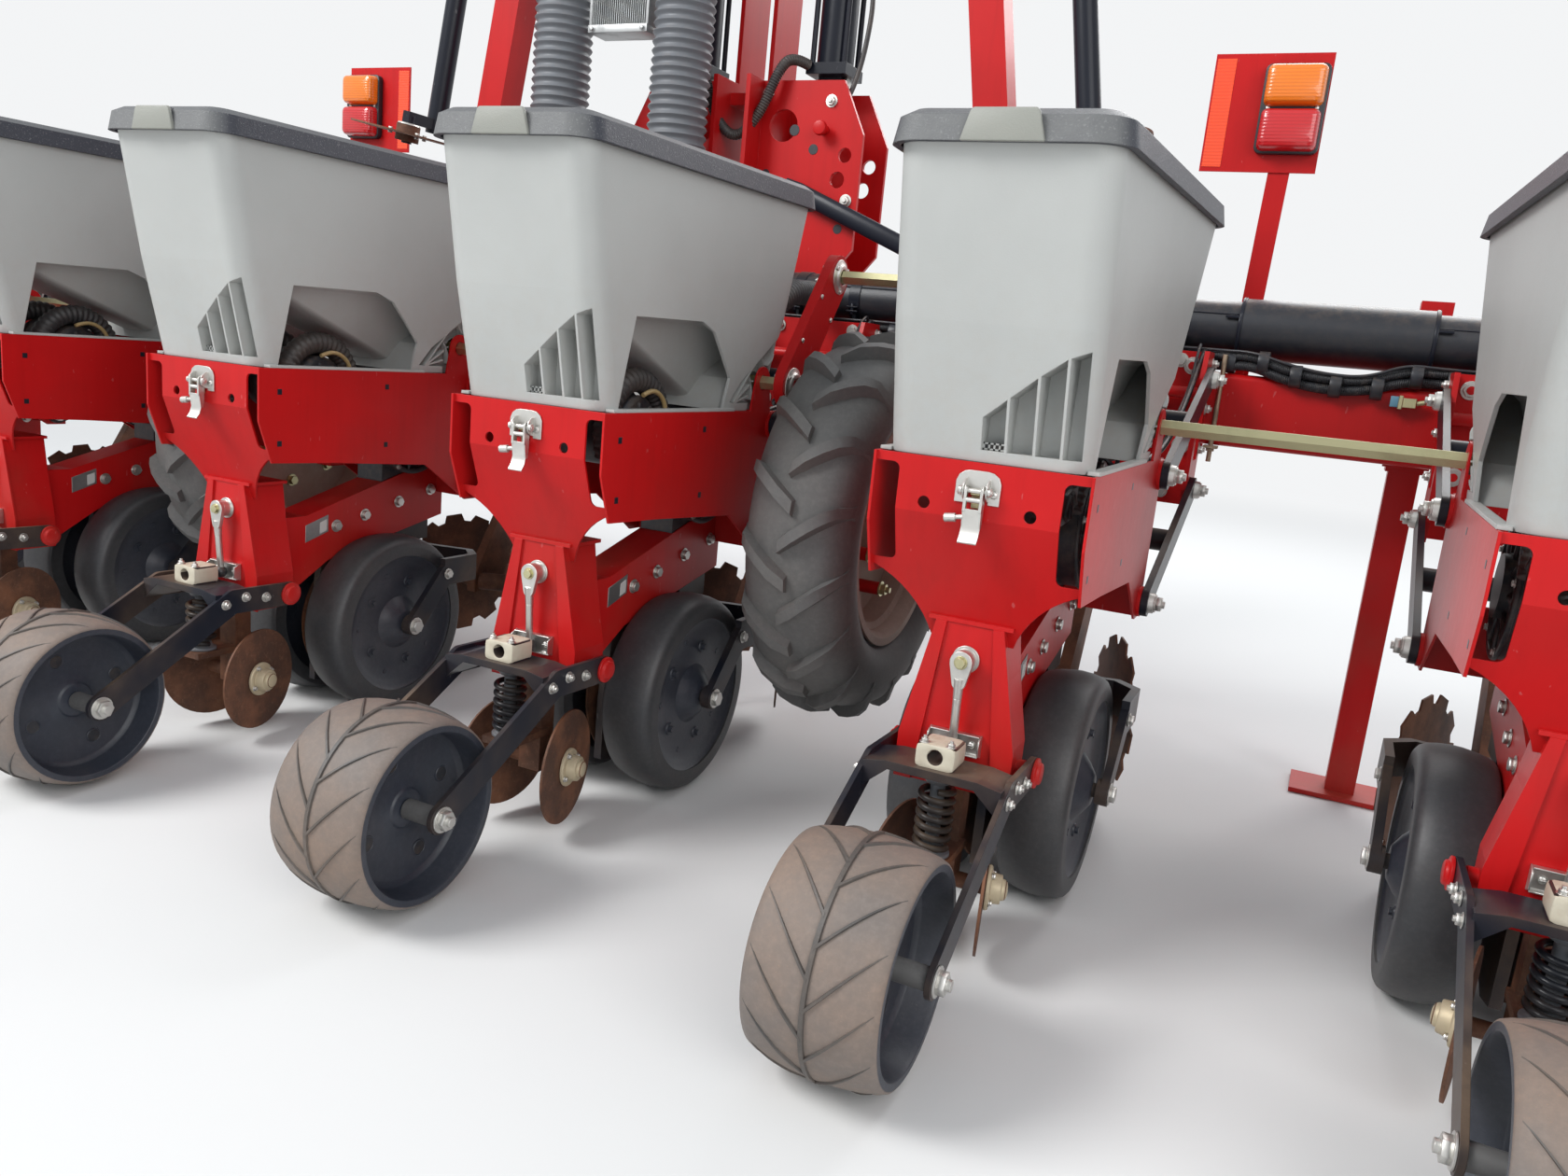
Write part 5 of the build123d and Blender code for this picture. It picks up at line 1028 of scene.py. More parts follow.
def row_bolts():
    zinc = Shape()
    for y, z in ((-0.152, 0.880), (-0.152, 0.655), (-0.592, 0.710), (-0.592, 0.485)):
        zinc.bar((0.1700, y, z), (0.1798, y, z), 0.0185, 28, 0.0175)
        zinc.join(hex_bolt(0.0130, 0.0125, (1, 0, 0), washer=1.2, shank=0.005).moved((0.1796, y, z)))
    for y, z in ((-0.092, 0.912), (-0.092, 0.645), (-0.092, 0.735), (-0.092, 0.820)):
        zinc.join(hex_bolt(0.0095, 0.0095, (1, 0, 0), washer=1.3, shank=0.004).moved((0.1580, y, z)))
    for y in (-0.600, -0.700, -0.800, -0.880):
        share = (y + 0.560) / (-0.400)
        zinc.join(hex_bolt(0.0100, 0.0090, (1, 0, 0)).moved((0.0380, y, 0.470 - share * 0.085)))
    zinc = both_sides(zinc)
    for x in (-0.0950, 0.0950):
        for z in (0.640, 0.915):
            zinc.join(hex_bolt(0.0110, 0.0100, (0, -1, 0)).moved((x, -0.0873, z)))
    on_rows("row_bolts", zinc, "cast_zinc", edge=0.0005)
    # Thin dark plates on the side plates stand in for their square punched openings: painted shade.
    slot_shade_plates = Shape()
    for y, z in ((-1.128, 0.694), (-1.128, 0.598), (-0.860, 0.706), (-0.860, 0.588), (-0.610, 0.700)):
        slot_shade_plates.box((0.1500, y - 0.0052, z - 0.0052), (0.1523, y + 0.0052, z + 0.0052))
    on_rows("side_plate_slot_shades", both_sides(slot_shade_plates), "black_paint")
    plate, patch = Shape(), Shape()
    plate.prism([(-0.962, 0.374), (-0.902, 0.392), (-0.902, 0.428), (-0.962, 0.410)], 0.0378, 0.0392)
    patch.prism([(-0.925, 0.389), (-0.906, 0.3945), (-0.906, 0.419), (-0.925, 0.4135)], 0.0385, 0.0395)
    on_rows("row_plates", plate, "cooler_metal", edge=0.0004)
    on_rows("row_plate_patches", patch, "cooler_metal", WHITE_PATCH)


# Hoses of the air system

def hoses():
    rubber_hose = corrugated("ribbed hose", FINISHES["hose_rubber"])
    route = [(0, -0.5772, 0.6832), (0, -0.5122, 0.7207), (0, -0.425, 0.880), (0, -0.270, 0.985), (0, -0.1423, 0.992),
             (0, -0.0723, 0.992)]
    ribbed = rubber_hose.mesh(smooth_path([at(*p) for p in route]), Radius=0.0268, Pitch=0.0115, Depth=0.075)
    put("meter_hose_ribs", merged("meter hoses", [moved_mesh(ribbed, (x, 0, 0)) for x in ROW_X]), "frame",
        "hose_rubber", replaces=("meter_hoses",), smooth=60)
    cuffs = Shape()
    start, lead = Vector(route[0]), Vector(route[1])
    way = (lead - start).normalized()
    cuffs.bar(start, start + way * 0.034, 0.0298, 28, 0.0285)
    cuffs.bar((0, -0.0723, 0.992), (0, -0.1080, 0.992), 0.0298, 28, 0.0285)
    on_rows("meter_hose_cuffs", cuffs, "hose_rubber", edge=0.0012)
    bands = Shape()
    bands.bar(start + way * 0.010, start + way * 0.019, 0.0306, 28)
    bands.bar((0, -0.0840, 0.992), (0, -0.0930, 0.992), 0.0306, 28)
    bands.box((-0.0070, -0.0945, 1.0210), (0.0070, -0.0825, 1.0300))
    bands.bar((-0.0125, -0.0885, 1.0255), (0.0110, -0.0885, 1.0255), 0.0034, 6)
    on_rows("meter_hose_bands", bands, "cast_zinc", edge=0.0006)

    grey_hose = corrugated("wide hose", GREY_HOSE)
    wide, ends = [], Shape()
    for x in (-0.480, -0.110):
        line = smooth_path([at(x, 0.005, 1.0693), at(x, 0.007, 1.250), at(x, 0.003, 1.430), at(x, 0.007, 1.610),
                            at(x, 0.005, 1.7927)])
        wide.append(grey_hose.mesh(line, Radius=0.0735, Pitch=0.0220, Depth=0.055, Sides=36))
        for low, high in ((1.0693, 1.1130), (1.7490, 1.7927)):
            ends.bar((x, 0.005, low), (x, 0.005, high), 0.0790, 48)
        for z in (1.0850, 1.7740):
            ends.bar((x, 0.005, z - 0.005), (x, 0.005, z + 0.005), 0.0797, 48)
    put("fan_hose_ribs", merged("fan hoses", wide), "frame", "hose_rubber", GREY_HOSE, replaces=("fan_hoses",),
        smooth=60)
    put("fan_hose_ends", ends.moved(at(0, 0, 0)), "frame", "hose_rubber", edge=0.0015)


def frame_piece(name, shape, slot, finish=None, replaces=(), edge=0.0, smooth=35):
    """A fixed piece drawn from the toolbar's centreline."""
    return put(name, shape.moved(at(0, 0, 0)), "frame", slot, finish, replaces, edge, smooth)


def frame_pipes(name, routes, slot, finish=None, replaces=()):
    """Smooth pipes or cables fixed to the frame, each a radius and its points."""
    pipes = [piped([at(*p) for p in points], radius) for radius, points in routes]
    return put(name, merged(name, pipes), "frame", slot, finish, replaces, smooth=60)


# The air pipe's seams, bands and clamps, and the bolts of its brackets

def air_pipe_trim():
    black, zinc = Shape(), Shape()
    seam = math.radians(152)
    y, z = 0.005 + 0.0552 * math.cos(seam), 0.992 + 0.0552 * math.sin(seam)
    black.bar((-2.055, y, z), (2.055, y, z), 0.0022, 8)
    for x in (-1.5, 1.5):
        for side in (-1, 1):
            edge = x + side * 0.180
            black.turned([(edge - 0.004, 0.0600), (edge - 0.004, 0.0640), (edge - 0.002, 0.0648), (edge + 0.002, 0.0648),
                          (edge + 0.004, 0.0640), (edge + 0.004, 0.0600)], 64, (0, 0.005, 0.992))
            black.box((edge + side * 0.002, -0.0560, 1.0100), (edge + side * 0.030, -0.0500, 1.0155))
    for side in (-1, 1):
        end = side * 2.0595
        lip = [(end, 0.0), (end, 0.0585), (end - side * 0.020, 0.0595), (end - side * 0.024, 0.0560),
               (end - side * 0.024, 0.0)]
        black.turned(lip, 48, (0, 0.005, 0.992), closed=True)
    for x in (-0.480, -0.110):
        black.bar((x, 0.005, 1.046), (x, 0.005, 1.053), 0.0760, 40)
    frame_piece("pipe_seam_and_lips", black, "black_paint", edge=0.0006)
    for x in ROW_X:
        for side in (-1, 1):
            place = x + side * 0.075
            for dx in (-0.019, 0.019):
                for y in (-0.028, 0.038):
                    zinc.join(hex_bolt(0.0065, 0.0065, (0, 0, 1)).moved((place + dx, y, 0.9033)))
    frame_piece("pipe_bracket_bolts", zinc, "cast_zinc", edge=0.0004)
    straps = Shape()
    for x in ROW_X:
        for side in (-1, 1):
            place = x + side * 0.075
            straps.turned([(place - 0.014, 0.0553), (place - 0.014, 0.0575), (place + 0.014, 0.0575),
                           (place + 0.014, 0.0553)], 56, (0, 0.005, 0.992))
            straps.box((place - 0.014, -0.0600, 0.9700), (place + 0.014, -0.0500, 0.9735))
            straps.box((place - 0.014, -0.0600, 0.9600), (place + 0.014, -0.0500, 0.9635))
            straps.bar((place, -0.0560, 0.9540), (place, -0.0560, 0.9795), 0.0036, 6)
    frame_piece("pipe_straps", straps, "black_paint", edge=0.0006)


# Wiring along the toolbar: corrugated conduits, thin cables, wraps and one lead down to each meter

def conduit_finish():
    f = Finish("ribbed conduit")
    ribs = (f.along("X") * (2 * math.pi / 0.0036)).sine() * 0.5 + 0.5
    wear = f.noise(60.0, 4.0, 0.7)
    # Painted light and shade: the colour is paler on the crests of the ribs and near black in their grooves.
    tone = f.mix(ribs * 0.35, (0.010, 0.011, 0.014), (0.050, 0.052, 0.058))
    tone = f.mix(wear.fade(0.5, 0.75) * 0.4, tone, (0.16, 0.13, 0.11))
    return f.surface(base_color=tone, roughness=0.42 + wear * 0.2, normal=f.relief(ribs, 0.0014, 0.9))


def wiring():
    hanging = (-1.5, 0.0, 1.5)
    line = []
    for x in ROW_X[:-1]:
        middle = x + ROW_PITCH / 2
        line += [(x, -0.0560, 0.912), (x + 0.17, -0.0570, 0.911)]
        if middle in hanging:
            line += [(x + 0.235, -0.0780, 0.915), (x + 0.300, -0.0885, 0.893), (middle, -0.0885, 0.881),
                     (x + 0.450, -0.0885, 0.884), (x + 0.515, -0.0780, 0.912)]
        else:
            line += [(x + 0.270, -0.0610, 0.909), (middle, -0.0600, 0.909), (x + 0.480, -0.0610, 0.909)]
        line += [(x + 0.58, -0.0570, 0.911)]
    line += [(ROW_X[-1], -0.0560, 0.912)]

    def strand(dy, dz, sway, turn):
        places = []
        for i, (x, y, z) in enumerate(line):
            places.append((x, y + dy + sway * math.sin(1.9 * i + turn), z + dz + sway * math.cos(2.3 * i + turn)))
        return places

    frame_pipes("toolbar_conduits", [(0.0098, strand(0.0, 0.0, 0.001, 0.0)), (0.0088, strand(-0.001, 0.0185, 0.0015, 1.0))],
                "black_plastic", conduit_finish())
    frame_pipes("toolbar_cables", [(0.0042, strand(0.0125, 0.012, 0.002, 2.0)), (0.0032, strand(-0.010, 0.030, 0.002, 3.1)),
                                   (0.0038, strand(0.009, 0.0285, 0.0025, 4.4))], "black_plastic")
    wraps = Shape()
    for x, y, z in line:
        lean = Vector((1, 0, 0))
        wraps.bar(Vector((x + 0.020, y, z + 0.009)) - lean * 0.011, Vector((x + 0.020, y, z + 0.009)) + lean * 0.011,
                  0.0225, 20)
    frame_piece("wiring_wraps", wraps, "black_plastic", edge=0.002)

    leads, plugs = [], Shape()
    for x in ROW_X:
        leads.append((0.0052, [(x + 0.130, -0.0580, 0.930), (x + 0.139, -0.0750, 0.944), (x + 0.139, -0.1150, 0.928),
                               (x + 0.139, -0.1900, 0.874), (x + 0.139, -0.3300, 0.800), (x + 0.139, -0.4700, 0.752),
                               (x + 0.136, -0.5750, 0.738), (x + 0.110, -0.6350, 0.716), (x + 0.082, -0.6450, 0.690),
                               (x + 0.074, -0.6450, 0.668)]))
        leads.append((0.0034, [(x + 0.118, -0.0580, 0.930), (x + 0.130, -0.0800, 0.957), (x + 0.131, -0.1300, 0.935),
                               (x + 0.133, -0.1850, 0.862), (x + 0.131, -0.3500, 0.786), (x + 0.131, -0.4800, 0.742),
                               (x + 0.126, -0.5800, 0.728), (x + 0.100, -0.6200, 0.706), (x + 0.072, -0.6300, 0.676)]))
        plugs.box((x + 0.066, -0.658, 0.656), (x + 0.084, -0.630, 0.676))
    frame_pipes("meter_leads", leads, "black_plastic")
    frame_piece("meter_plugs", plugs, "black_plastic", edge=0.002)

    connector = Shape()
    connector.box((1.640, -0.1020, 0.862), (1.668, -0.0860, 0.880))
    connector.box((1.636, -0.1040, 0.858), (1.644, -0.0840, 0.884))
    connector.bar((1.668, -0.0940, 0.871), (1.684, -0.0940, 0.875), 0.0050, 12)
    frame_piece("wiring_connector", connector, "zinc", edge=0.001)
    collar = Shape().box((1.622, -0.1030, 0.861), (1.637, -0.0850, 0.882))
    frame_piece("wiring_connector_shell", collar, "lid_plastic", BLUE_SHELL, edge=0.0015)
    rods = Shape()
    for x in (-0.945, 0.195, 1.305):
        rods.bar((x, -0.0812, 0.712), (x, -0.0812, 0.934), 0.0050, 12)
        rods.join(hex_bolt(0.0085, 0.0080, (0, 0, -1), shank=0.006).moved((x, -0.0812, 0.742)))
        rods.box((x - 0.014, -0.0900, 0.7400), (x + 0.014, -0.0600, 0.7460))
    frame_piece("toolbar_tie_rods", rods, "cast_zinc", STAINED_ZINC, edge=0.0005)


# Toolbar ends, stands and clamp nuts

def toolbar_trim():
    plugs, zinc = Shape(), Shape()
    for side in (-1, 1):
        low, high = sorted((side * 2.2900, side * 2.2985))
        outline = []
        for cy, cz, start in ((1, 1, 0), (-1, 1, 90), (-1, -1, 180), (1, -1, 270)):
            for step in range(6):
                angle = math.radians(start + step * 18)
                outline.append((cy * 0.056 + 0.0105 * math.cos(angle), 0.822 + cz * 0.056 + 0.0105 * math.sin(angle)))
        plugs.prism(outline, low, high)
        for rib in (-0.030, 0.0, 0.030):
            plugs.box((min(side * 2.2975, side * 2.2998), -0.050, 0.820 + rib), (max(side * 2.2975, side * 2.2998), 0.050,
                                                                             0.824 + rib))
    frame_piece("toolbar_end_plugs", plugs, "black_plastic", edge=0.001)
    reach = 0.075 + 0.0003 + 0.008
    for x in ROW_X:
        for dx in (-0.120, 0.120):
            for z in (0.822 - reach, 0.822 + reach):
                zinc.join(hex_bolt(0.0140, 0.0110, (0, -1, 0), washer=1.3).moved((x + dx, -0.0873, z)))
                zinc.join(hex_bolt(0.0140, 0.0120, (0, 1, 0), washer=1.3).moved((x + dx, 0.0873, z)))
    for side in (-1, 1):
        zinc.bar((side * 1.680, 0.055, 0.862), (side * 1.680, 0.172, 0.862), 0.0070, 14)
        zinc.join(dome(0.0125, 0.0060, (0, 1, 0)).moved((side * 1.680, 0.1700, 0.862)))
        for dx in (-0.034, 0.034):
            for z in (0.760, 0.885):
                zinc.join(hex_bolt(0.0090, 0.0080, (0, 1, 0)).moved((side * 1.680 + dx * 1.02, 0.0865, z)))
    frame_piece("clamp_nuts", zinc, "cast_zinc", edge=0.0006)


# Tower: bolts, tubes and pins, with thin dark discs of painted shade in place of its small openings; cylinders, cooler
# and fan

def tower_trim():
    dark, zinc, red = Shape(), Shape(), Shape()
    # Thin dark discs on the tower's faces stand in for its small round openings: painted shade.
    for x, z, radius in ((0.153, 1.409, 0.014), (0.211, 1.363, 0.013), (0.300, 1.170, 0.012), (0.080, 1.300, 0.012),
                         (0.080, 1.080, 0.012), (0.175, 1.060, 0.012)):
        for side in (-1, 1):
            dark.bar((side * x, 0.1494, z), (side * x, 0.1502, z), radius, 28)
    frame_piece("tower_hole_shades", dark, "black_plastic")
    for side in (-1, 1):
        red.bar((side * 0.238, 0.1505, 1.410), (side * 0.238, 0.1180, 1.410), 0.0125, 20)
        red.bar((side * 0.238, 0.1240, 1.410), (side * 0.238, 0.1120, 1.410), 0.0190, 24, 0.0170)
        for x, z in ((0.070, 1.500), (0.070, 0.900), (0.190, 0.900), (0.190, 0.780), (0.070, 0.780), (0.250, 1.480),
                     (0.315, 1.240)):
            zinc.join(hex_bolt(0.0120, 0.0105, (0, -1, 0), washer=1.35, shank=0.005).moved((side * x, 0.1500, z)))
            zinc.join(hex_bolt(0.0120, 0.0105, (0, 1, 0), washer=1.35).moved((side * x, 0.3300, z)))
        zinc.bar((side * 0.160, 0.262, 1.545), (side * 0.240, 0.262, 1.545), 0.0120, 20)
        for low in (0.160, 0.236):
            zinc.bar((side * low, 0.262, 1.545), (side * (low + 0.006), 0.262, 1.545), 0.0180, 20)
        for dx in (-0.044, 0.044):
            for dy in (-0.044, 0.044):
                zinc.join(hex_bolt(0.0090, 0.0090, (0, 0, 1), shank=0.006).moved(
                    (side * 0.200 + dx, 0.258 + dy, 1.8115)))
        zinc.join(hex_bolt(0.0150, 0.0120, (side, 0, 0)).moved((side * 0.4825, 0.462, 0.560)))
    frame_piece("tower_pins", red, "red_paint", edge=0.0015)
    frame_piece("tower_bolts", zinc, "cast_zinc", edge=0.0005)
    strut = Shape()
    for side in (-1, 1):
        start, end = Vector((side * 0.150, 0.126, 1.272)), Vector((side * 0.700, 0.114, 1.052))
        way = (end - start).normalized()
        across = Vector((0, 1, 0)).cross(way).normalized()
        rings = []
        for place, wide, thick in ((start, 0.018, 0.006), (start + way * 0.045, 0.023, 0.007),
                                   (start + way * 0.075, 0.0225, 0.0125), (end - way * 0.075, 0.0225, 0.0125),
                                   (end - way * 0.045, 0.023, 0.007), (end, 0.018, 0.006)):
            rings.append([place + across * (wide * math.cos(2 * math.pi * i / 24))
                          + Vector((0, thick * math.sin(2 * math.pi * i / 24), 0)) for i in range(24)])
        strut.loft(rings)
        for place, depth in ((start + way * 0.022, 0.1500), (end - way * 0.022, 0.1000)):
            strut.bar((place.x, 0.108, place.z), (place.x, depth, place.z), 0.0090, 16)
    frame_piece("tower_struts", strut, "black_paint", edge=0.001)
    hose = corrugated("tower hose", FINISHES["hose_rubber"])
    looped = hose.mesh(smooth_path([at(*p) for p in (
        (0.152, 0.200, 1.578), (0.128, 0.150, 1.590), (0.107, 0.118, 1.545), (0.070, 0.112, 1.440),
        (0.000, 0.114, 1.372), (-0.070, 0.112, 1.440), (-0.107, 0.118, 1.545), (-0.128, 0.150, 1.590),
        (-0.152, 0.200, 1.578))]), Radius=0.0125, Pitch=0.0065, Depth=0.10)
    put("tower_hose", looped, "frame", "hose_rubber", smooth=60)
    lines = []
    for side in (-1, 1):
        lines.append((0.0065, [(side * 0.244, 0.258, 1.785), (side * 0.275, 0.258, 1.790), (side * 0.300, 0.240, 1.740),
                               (side * 0.305, 0.200, 1.600), (side * 0.290, 0.175, 1.500), (side * 0.250, 0.172, 1.440),
                               (side * 0.180, 0.172, 1.300), (side * 0.130, 0.172, 1.050), (side * 0.110, 0.200, 0.960)]))
    frame_pipes("cylinder_hoses", lines, "hose_rubber")


def cooler():
    core, fins = Shape(), Shape()
    core.box((-0.385, -0.020, 1.610), (-0.205, 0.060, 1.629))
    core.box((-0.385, -0.020, 1.7900), (-0.205, 0.060, 1.8147))
    for low in (-0.385, -0.213):
        core.box((low, -0.016, 1.627), (low + 0.008, 0.056, 1.792))
    for step in range(6):
        z = 1.648 + step * 0.026
        for y in (0.002, 0.038):
            core.bar((-0.380, y, z), (-0.210, y, z), 0.0062, 12)
    for x in (-0.372, -0.218):
        core.join(hex_bolt(0.0060, 0.0060, (0, -1, 0)).moved((x, -0.0200, 1.6195)))
    frame_piece("cooler_frame", core, "cooler_metal", replaces=("cooler",), edge=0.0015)
    for step in range(27):
        x = -0.3735 + step * 0.0060
        fins.box((x, -0.0165, 1.6295), (x + 0.0014, 0.0565, 1.7898))
    frame_piece("cooler_fins", fins, "cooler_metal")


def fan_trim():
    rims, bolts = Shape(), Shape()
    turn = Matrix.Translation((-0.295, 0, 2.070)) @ Matrix.Rotation(-math.pi / 2, 4, "Z")
    for y in (-0.0705, 0.0705):
        rims.join(Shape().turned([(y - 0.0030, 0.170), (y - 0.0030, 0.1945), (y + 0.0030, 0.1945), (y + 0.0030, 0.170)],
                                 72).turned_by(turn))
        side = -1 if y < 0 else 1
        for a, p, q in ring_of(12, 0.183, 0.2):
            bolts.join(hex_bolt(0.0065, 0.0060, (0, side, 0)).moved((-0.295 + p, y + side * 0.003, 2.070 + q)))
    for radius in (0.040, 0.070, 0.100, 0.130):
        rims.join(Shape().turned([(0.0722, radius - 0.0022), (0.0765, radius), (0.0722, radius + 0.0022)], 56).turned_by(turn))
    for a, p, q in ring_of(6, 1.0):
        rims.bar((-0.295 + 0.030 * p, -0.0745, 2.070 + 0.030 * q), (-0.295 + 0.165 * p, -0.0745, 2.070 + 0.165 * q), 0.0030, 8)
    for y in (0.092, 0.112, 0.132, 0.152, 0.172):
        rims.join(Shape().turned([(-y - 0.0030, 0.055), (-y - 0.0030, 0.0665), (-y + 0.0030, 0.0665), (-y + 0.0030, 0.055)],
                                 40).turned_by(turn))
    frame_piece("fan_rims", rims, "black_paint", edge=0.0008)
    for x in (-0.545, -0.295, -0.045):
        for z in (1.828, 1.892):
            bolts.join(hex_bolt(0.0065, 0.0060, (0, -1, 0)).moved((x, -0.0780, z)))
    frame_piece("fan_bolts", bolts, "cast_zinc", edge=0.0004)


# Lamps on their boards

def lamps():
    housing, amber, red, strips, screws = Shape(), Shape(), Shape(), Shape(), Shape()

    def rounded(x0, x1, z0, z1, corner):
        points = []
        for cx, cz, start in ((x1 - corner, z1 - corner, 0), (x0 + corner, z1 - corner, 90),
                              (x0 + corner, z0 + corner, 180), (x1 - corner, z0 + corner, 270)):
            for step in range(6):
                angle = math.radians(start + step * 18)
                points.append((cx + corner * math.cos(angle), cz + corner * math.sin(angle)))
        return points

    def lens(shape, z0, z1):
        rings = []
        for depth, inset in ((0.1500, 0.0), (0.1260, 0.0025), (0.1190, 0.006), (0.1150, 0.014)):
            rings.append([(x, depth, z) for x, z in rounded(1.2725 + inset, 1.3935 - inset, z0 + inset, z1 - inset, 0.012)])
        shape.loft(rings)

    housing.prism(rounded(1.268, 1.398, 1.372, 1.556, 0.014), 0.1647, 0.1470, "Y")
    lens(amber, 1.4680, 1.5520)
    lens(red, 1.3760, 1.4620)
    for z in (1.4650,):
        for x in (1.284, 1.382):
            screws.join(dome(0.0045, 0.0030, (0, -1, 0)).moved((x, 0.1470, z)))
    strips.box((1.1640, 0.1638, 1.3450), (1.2040, 0.1650, 1.5700))
    for x in (1.176, 1.384):
        for z in (1.350, 1.566):
            screws.join(hex_bolt(0.0060, 0.0055, (0, 1, 0)).moved((x, 0.1690, z)))
    frame_piece("lamp_housings", both_sides(housing), "lamp_plastic", FINISHES["black_plastic"], ("lamps",), 0.0015)
    frame_piece("amber_lenses", both_sides(amber), "lamp_plastic", edge=0.001)
    frame_piece("red_lenses", both_sides(red), "lamp_plastic", RED_LENS, edge=0.001)
    frame_piece("reflective_strips", both_sides(strips), "lamp_plastic", REFLECTOR)
    frame_piece("lamp_screws", both_sides(screws), "cast_zinc", edge=0.0003)


# Hoppers and their lids

def hopper_trim():
    grille, grille_shade_plate = Shape(), Shape()
    for z in (0.7542, 0.7618):
        grille.box((-0.0045, -1.1590, z), (0.0275, -1.1555, z + 0.0024))
    for step in range(5):
        x = -0.0045 + step * 0.00735
        grille.box((x, -1.1590, 0.7542), (x + 0.0026, -1.1555, 0.7642))
    # A dark plate just behind the grille stands in for the opening behind its bars: painted shade.
    grille_shade_plate.box((-0.0045, -1.1560, 0.7545), (0.0275, -1.1545, 0.7638))
    on_rows("hopper_grille_shades", grille_shade_plate, "black_plastic")
    arcs = Shape()
    for side in (-1, 1):
        for radius, low, high in ((0.075, 4, 60), (0.135, 8, 58)):
            rings = []
            for step in range(15):
                angle = math.radians(low + (high - low) * step / 14)
                c, s = math.cos(angle), math.sin(angle)
                rings.append([(side * x, -0.745 + r * c, 0.752 + r * s)
                              for x, r in ((0.1300, radius - 0.0018), (0.1440, radius - 0.0018),
                                           (0.1440, radius + 0.0018), (0.1300, radius + 0.0018))])
            arcs.loft(rings)
    on_rows("hopper_web_arcs", arcs, "hopper_plastic", edge=0.0008)
    on_rows("hopper_grilles", grille, "hopper_plastic")


def lid_trim():
    for n, x in enumerate(ROW_X, 1):
        low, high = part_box("lid_%d" % n)
        back, top = low[1] - SHIFT, high[2]
        grip = Shape()
        outline = [(-0.0525, 1.1255), (0.0525, 1.1255), (0.0425, 1.1600), (0.0390, 1.1640), (-0.0390, 1.1640),
                   (-0.0425, 1.1600)]
        grip.prism(outline, back - 0.0012, back + 0.006, "Y")
        put("lid_grip_%d" % n, grip.moved(at(x, 0, 0)), "lid_%d" % n, "lid_plastic", LID_GRIP, edge=0.002)


# Seed meters and chain cases

def meter_trim():
    ribs = Shape()
    ribs.turned([(0.0660, 0.0990), (0.0660, 0.1105), (0.0720, 0.1105), (0.0735, 0.1080), (0.0735, 0.0990)], 56,
                (0, -0.690, 0.618))
    for a, y, z in ring_of(10, 1.0, 0.15):
        start, end = Vector((0.0700, -0.690 + 0.050 * y, 0.618 + 0.050 * z)), Vector((0.0700, -0.690 + 0.100 * y,
                                                                                  0.618 + 0.100 * z))
        ribs.bar(start, end, 0.0040, 8)
    on_rows("meter_ribs", both_sides(ribs), "black_plastic", edge=0.0008)
    bolts = Shape()
    for a, y, z in ring_of(5, 0.1040, 0.45):
        bolts.join(hex_bolt(0.0050, 0.0045, (1, 0, 0)).moved((0.0735, -0.690 + y, 0.618 + z)))
    on_rows("meter_bolts", both_sides(bolts), "cast_zinc", edge=0.0003)


def meter_housings():
    """A round housing with ribbed hoses over it, joined to the back of each meter by a duct."""
    y, z = -0.962, 0.700
    drum = Shape().turned([(-0.048, 0.020), (-0.048, 0.060), (-0.042, 0.069), (0.042, 0.069), (0.048, 0.060),
                           (0.048, 0.020)], 48, (0, y, z))
    drum.turned([(-0.082, 0.0), (-0.082, 0.050), (-0.074, 0.058), (0.074, 0.058), (0.082, 0.050), (0.082, 0.0)], 48,
                (0, y, z))
    for a, p, q in ring_of(8, 1.0, 0.2):
        for x in (-0.0825, 0.0825):
            drum.bar((x, y + 0.012 * p, z + 0.012 * q), (x, y + 0.047 * p, z + 0.047 * q), 0.0035, 8)
    drum.prism([(-0.910, 0.640), (-0.790, 0.590), (-0.790, 0.640), (-0.895, 0.690)], -0.030, 0.030)
    on_rows("meter_housings", drum, "black_plastic", edge=0.0012)
    ribbed = corrugated("housing hose", FINISHES["hose_rubber"])
    loops = []
    for x in (-0.066, 0.066):
        turns = [math.radians(a) for a in range(-30, 211, 20)]
        route = [at(x, y + 0.085 * math.cos(a), z + 0.085 * math.sin(a)) for a in turns]
        loops.append(ribbed.mesh(smooth_path(route), Radius=0.0200, Pitch=0.0120, Depth=0.075, Sides=16))
    loops = merged("hose loops", loops)
    turns = [math.radians(a) for a in range(0, 126, 25)]
    tube = piped([(0.094, y + 0.012 + 0.050 * math.cos(a), z + 0.022 + 0.046 * math.sin(a)) for a in turns], 0.0042)
    put("housing_tubes", merged("housing tubes", [moved_mesh(tube, row) for row in ROWS]), "frame", "hose_rubber",
        CLEAR_TUBE, smooth=60)
    put("housing_hoses", merged("housing hoses", [moved_mesh(loops, (x, 0, 0)) for x in ROW_X]), "frame",
        "hose_rubber", smooth=60)


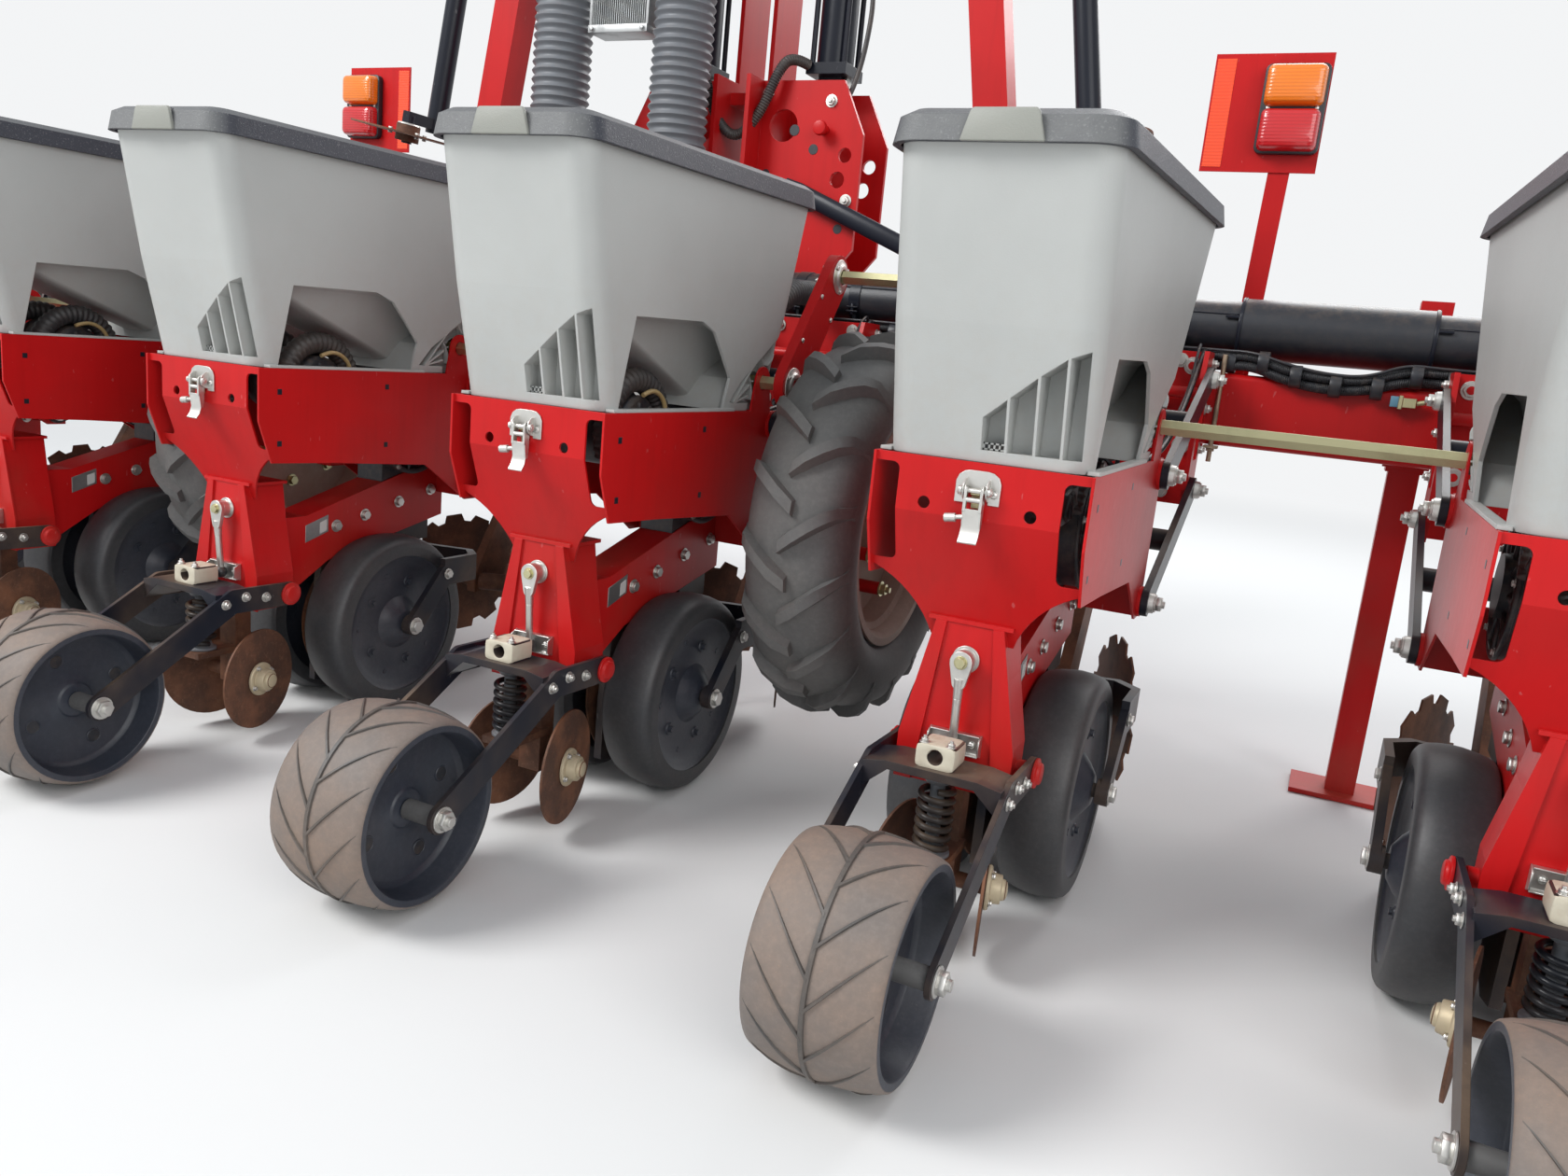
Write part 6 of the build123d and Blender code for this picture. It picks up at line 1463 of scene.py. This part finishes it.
def chain_case_trim():
    zinc = Shape()
    for x, side in ((0.570, -1), (0.590, 1), (0.910, -1), (0.930, 1)):
        for y, z in ((-0.645, 0.792), (-0.470, 1.010)):
            zinc.turned([(x, 0.0150), (x, 0.0340), (x + side * 0.0025, 0.0340), (x + side * 0.0045, 0.0250),
                         (x + side * 0.0085, 0.0225), (x + side * 0.0085, 0.0150)], 36, (0, y, z))
            for a, p, q in ring_of(3, 0.0290, 0.5):
                zinc.join(hex_bolt(0.0045, 0.0045, (side, 0, 0)).moved((x + side * 0.0025, y + p, z + q)))
        for share in (0.3, 0.7):
            y, z = -0.645 + 0.175 * share, 0.792 + 0.218 * share
            for lean in (-1, 1):
                zinc.join(dome(0.0050, 0.0035, (side, 0, 0)).moved((x, y + lean * 0.026, z - lean * 0.021)))
    frame_piece("chain_case_flanges", both_sides(zinc), "cast_zinc", edge=0.0005)


# Marker joints

def marker_trim():
    for name, side in SIDES:
        lean = Matrix.Translation(at(0.755, 0.035, 1.190)) @ Matrix.Rotation(math.radians(-10), 4, "Y")
        if side < 0:
            lean = Matrix.Diagonal((-1, 1, 1, 1)) @ lean
        pivot = Shape()
        for facing in (-1, 1):
            y = facing * 0.065
            pivot.join(hex_bolt(0.0210, 0.0120, (0, facing, 0), washer=1.3).moved((side * 0.755, 0.035 + y, 1.190)))
        put("marker_pivot_nuts_" + name, pivot.moved(at(0, 0, 0)), "frame", "cast_zinc", edge=0.0008)
        nuts = Shape()
        for facing in (-1, 1):
            nuts.join(hex_bolt(0.0170, 0.0110, (0, facing, 0), washer=1.3).moved((0.105, facing * 0.048, 1.220)))
            for z in (0.120, 1.050):
                nuts.join(hex_bolt(0.0090, 0.0080, (0, facing, 0)).moved((0.0, facing * 0.040, z)))
        put("marker_arm_nuts_" + name, nuts.turned_by(lean), "marker_arm_" + name, "cast_zinc", edge=0.0006)
        hub = Shape()
        hub.join(Shape().turned([(-0.0245, 0.0150), (-0.0245, 0.0310), (-0.0285, 0.0290), (-0.0300, 0.0180),
                                 (-0.0300, 0.0150)], 36).turned_by(Matrix.Rotation(math.pi / 2, 4, "Y")))
        for a, p, q in ring_of(4, 0.0520, 0.3):
            hub.join(hex_bolt(0.0060, 0.0060, (0, 0, -1)).moved((p, q, -0.0020)))
            hub.join(hex_bolt(0.0060, 0.0060, (0, 0, 1)).moved((p, q, 0.0020)))
        hub = hub.moved((0.210, -0.105, 0.120))
        put("marker_hub_" + name, hub.turned_by(lean), "marker_disc_" + name, "cast_zinc", edge=0.0006)


studio()
press_wheels()
gauge_wheels()
drive_wheels()
latches()
cranks()
fork_details()
springs()
hubs()
row_bolts()
hoses()
air_pipe_trim()
wiring()
toolbar_trim()
tower_trim()
cooler()
fan_trim()
lamps()
hopper_trim()
lid_trim()
meter_trim()
meter_housings()
chain_case_trim()
marker_trim()
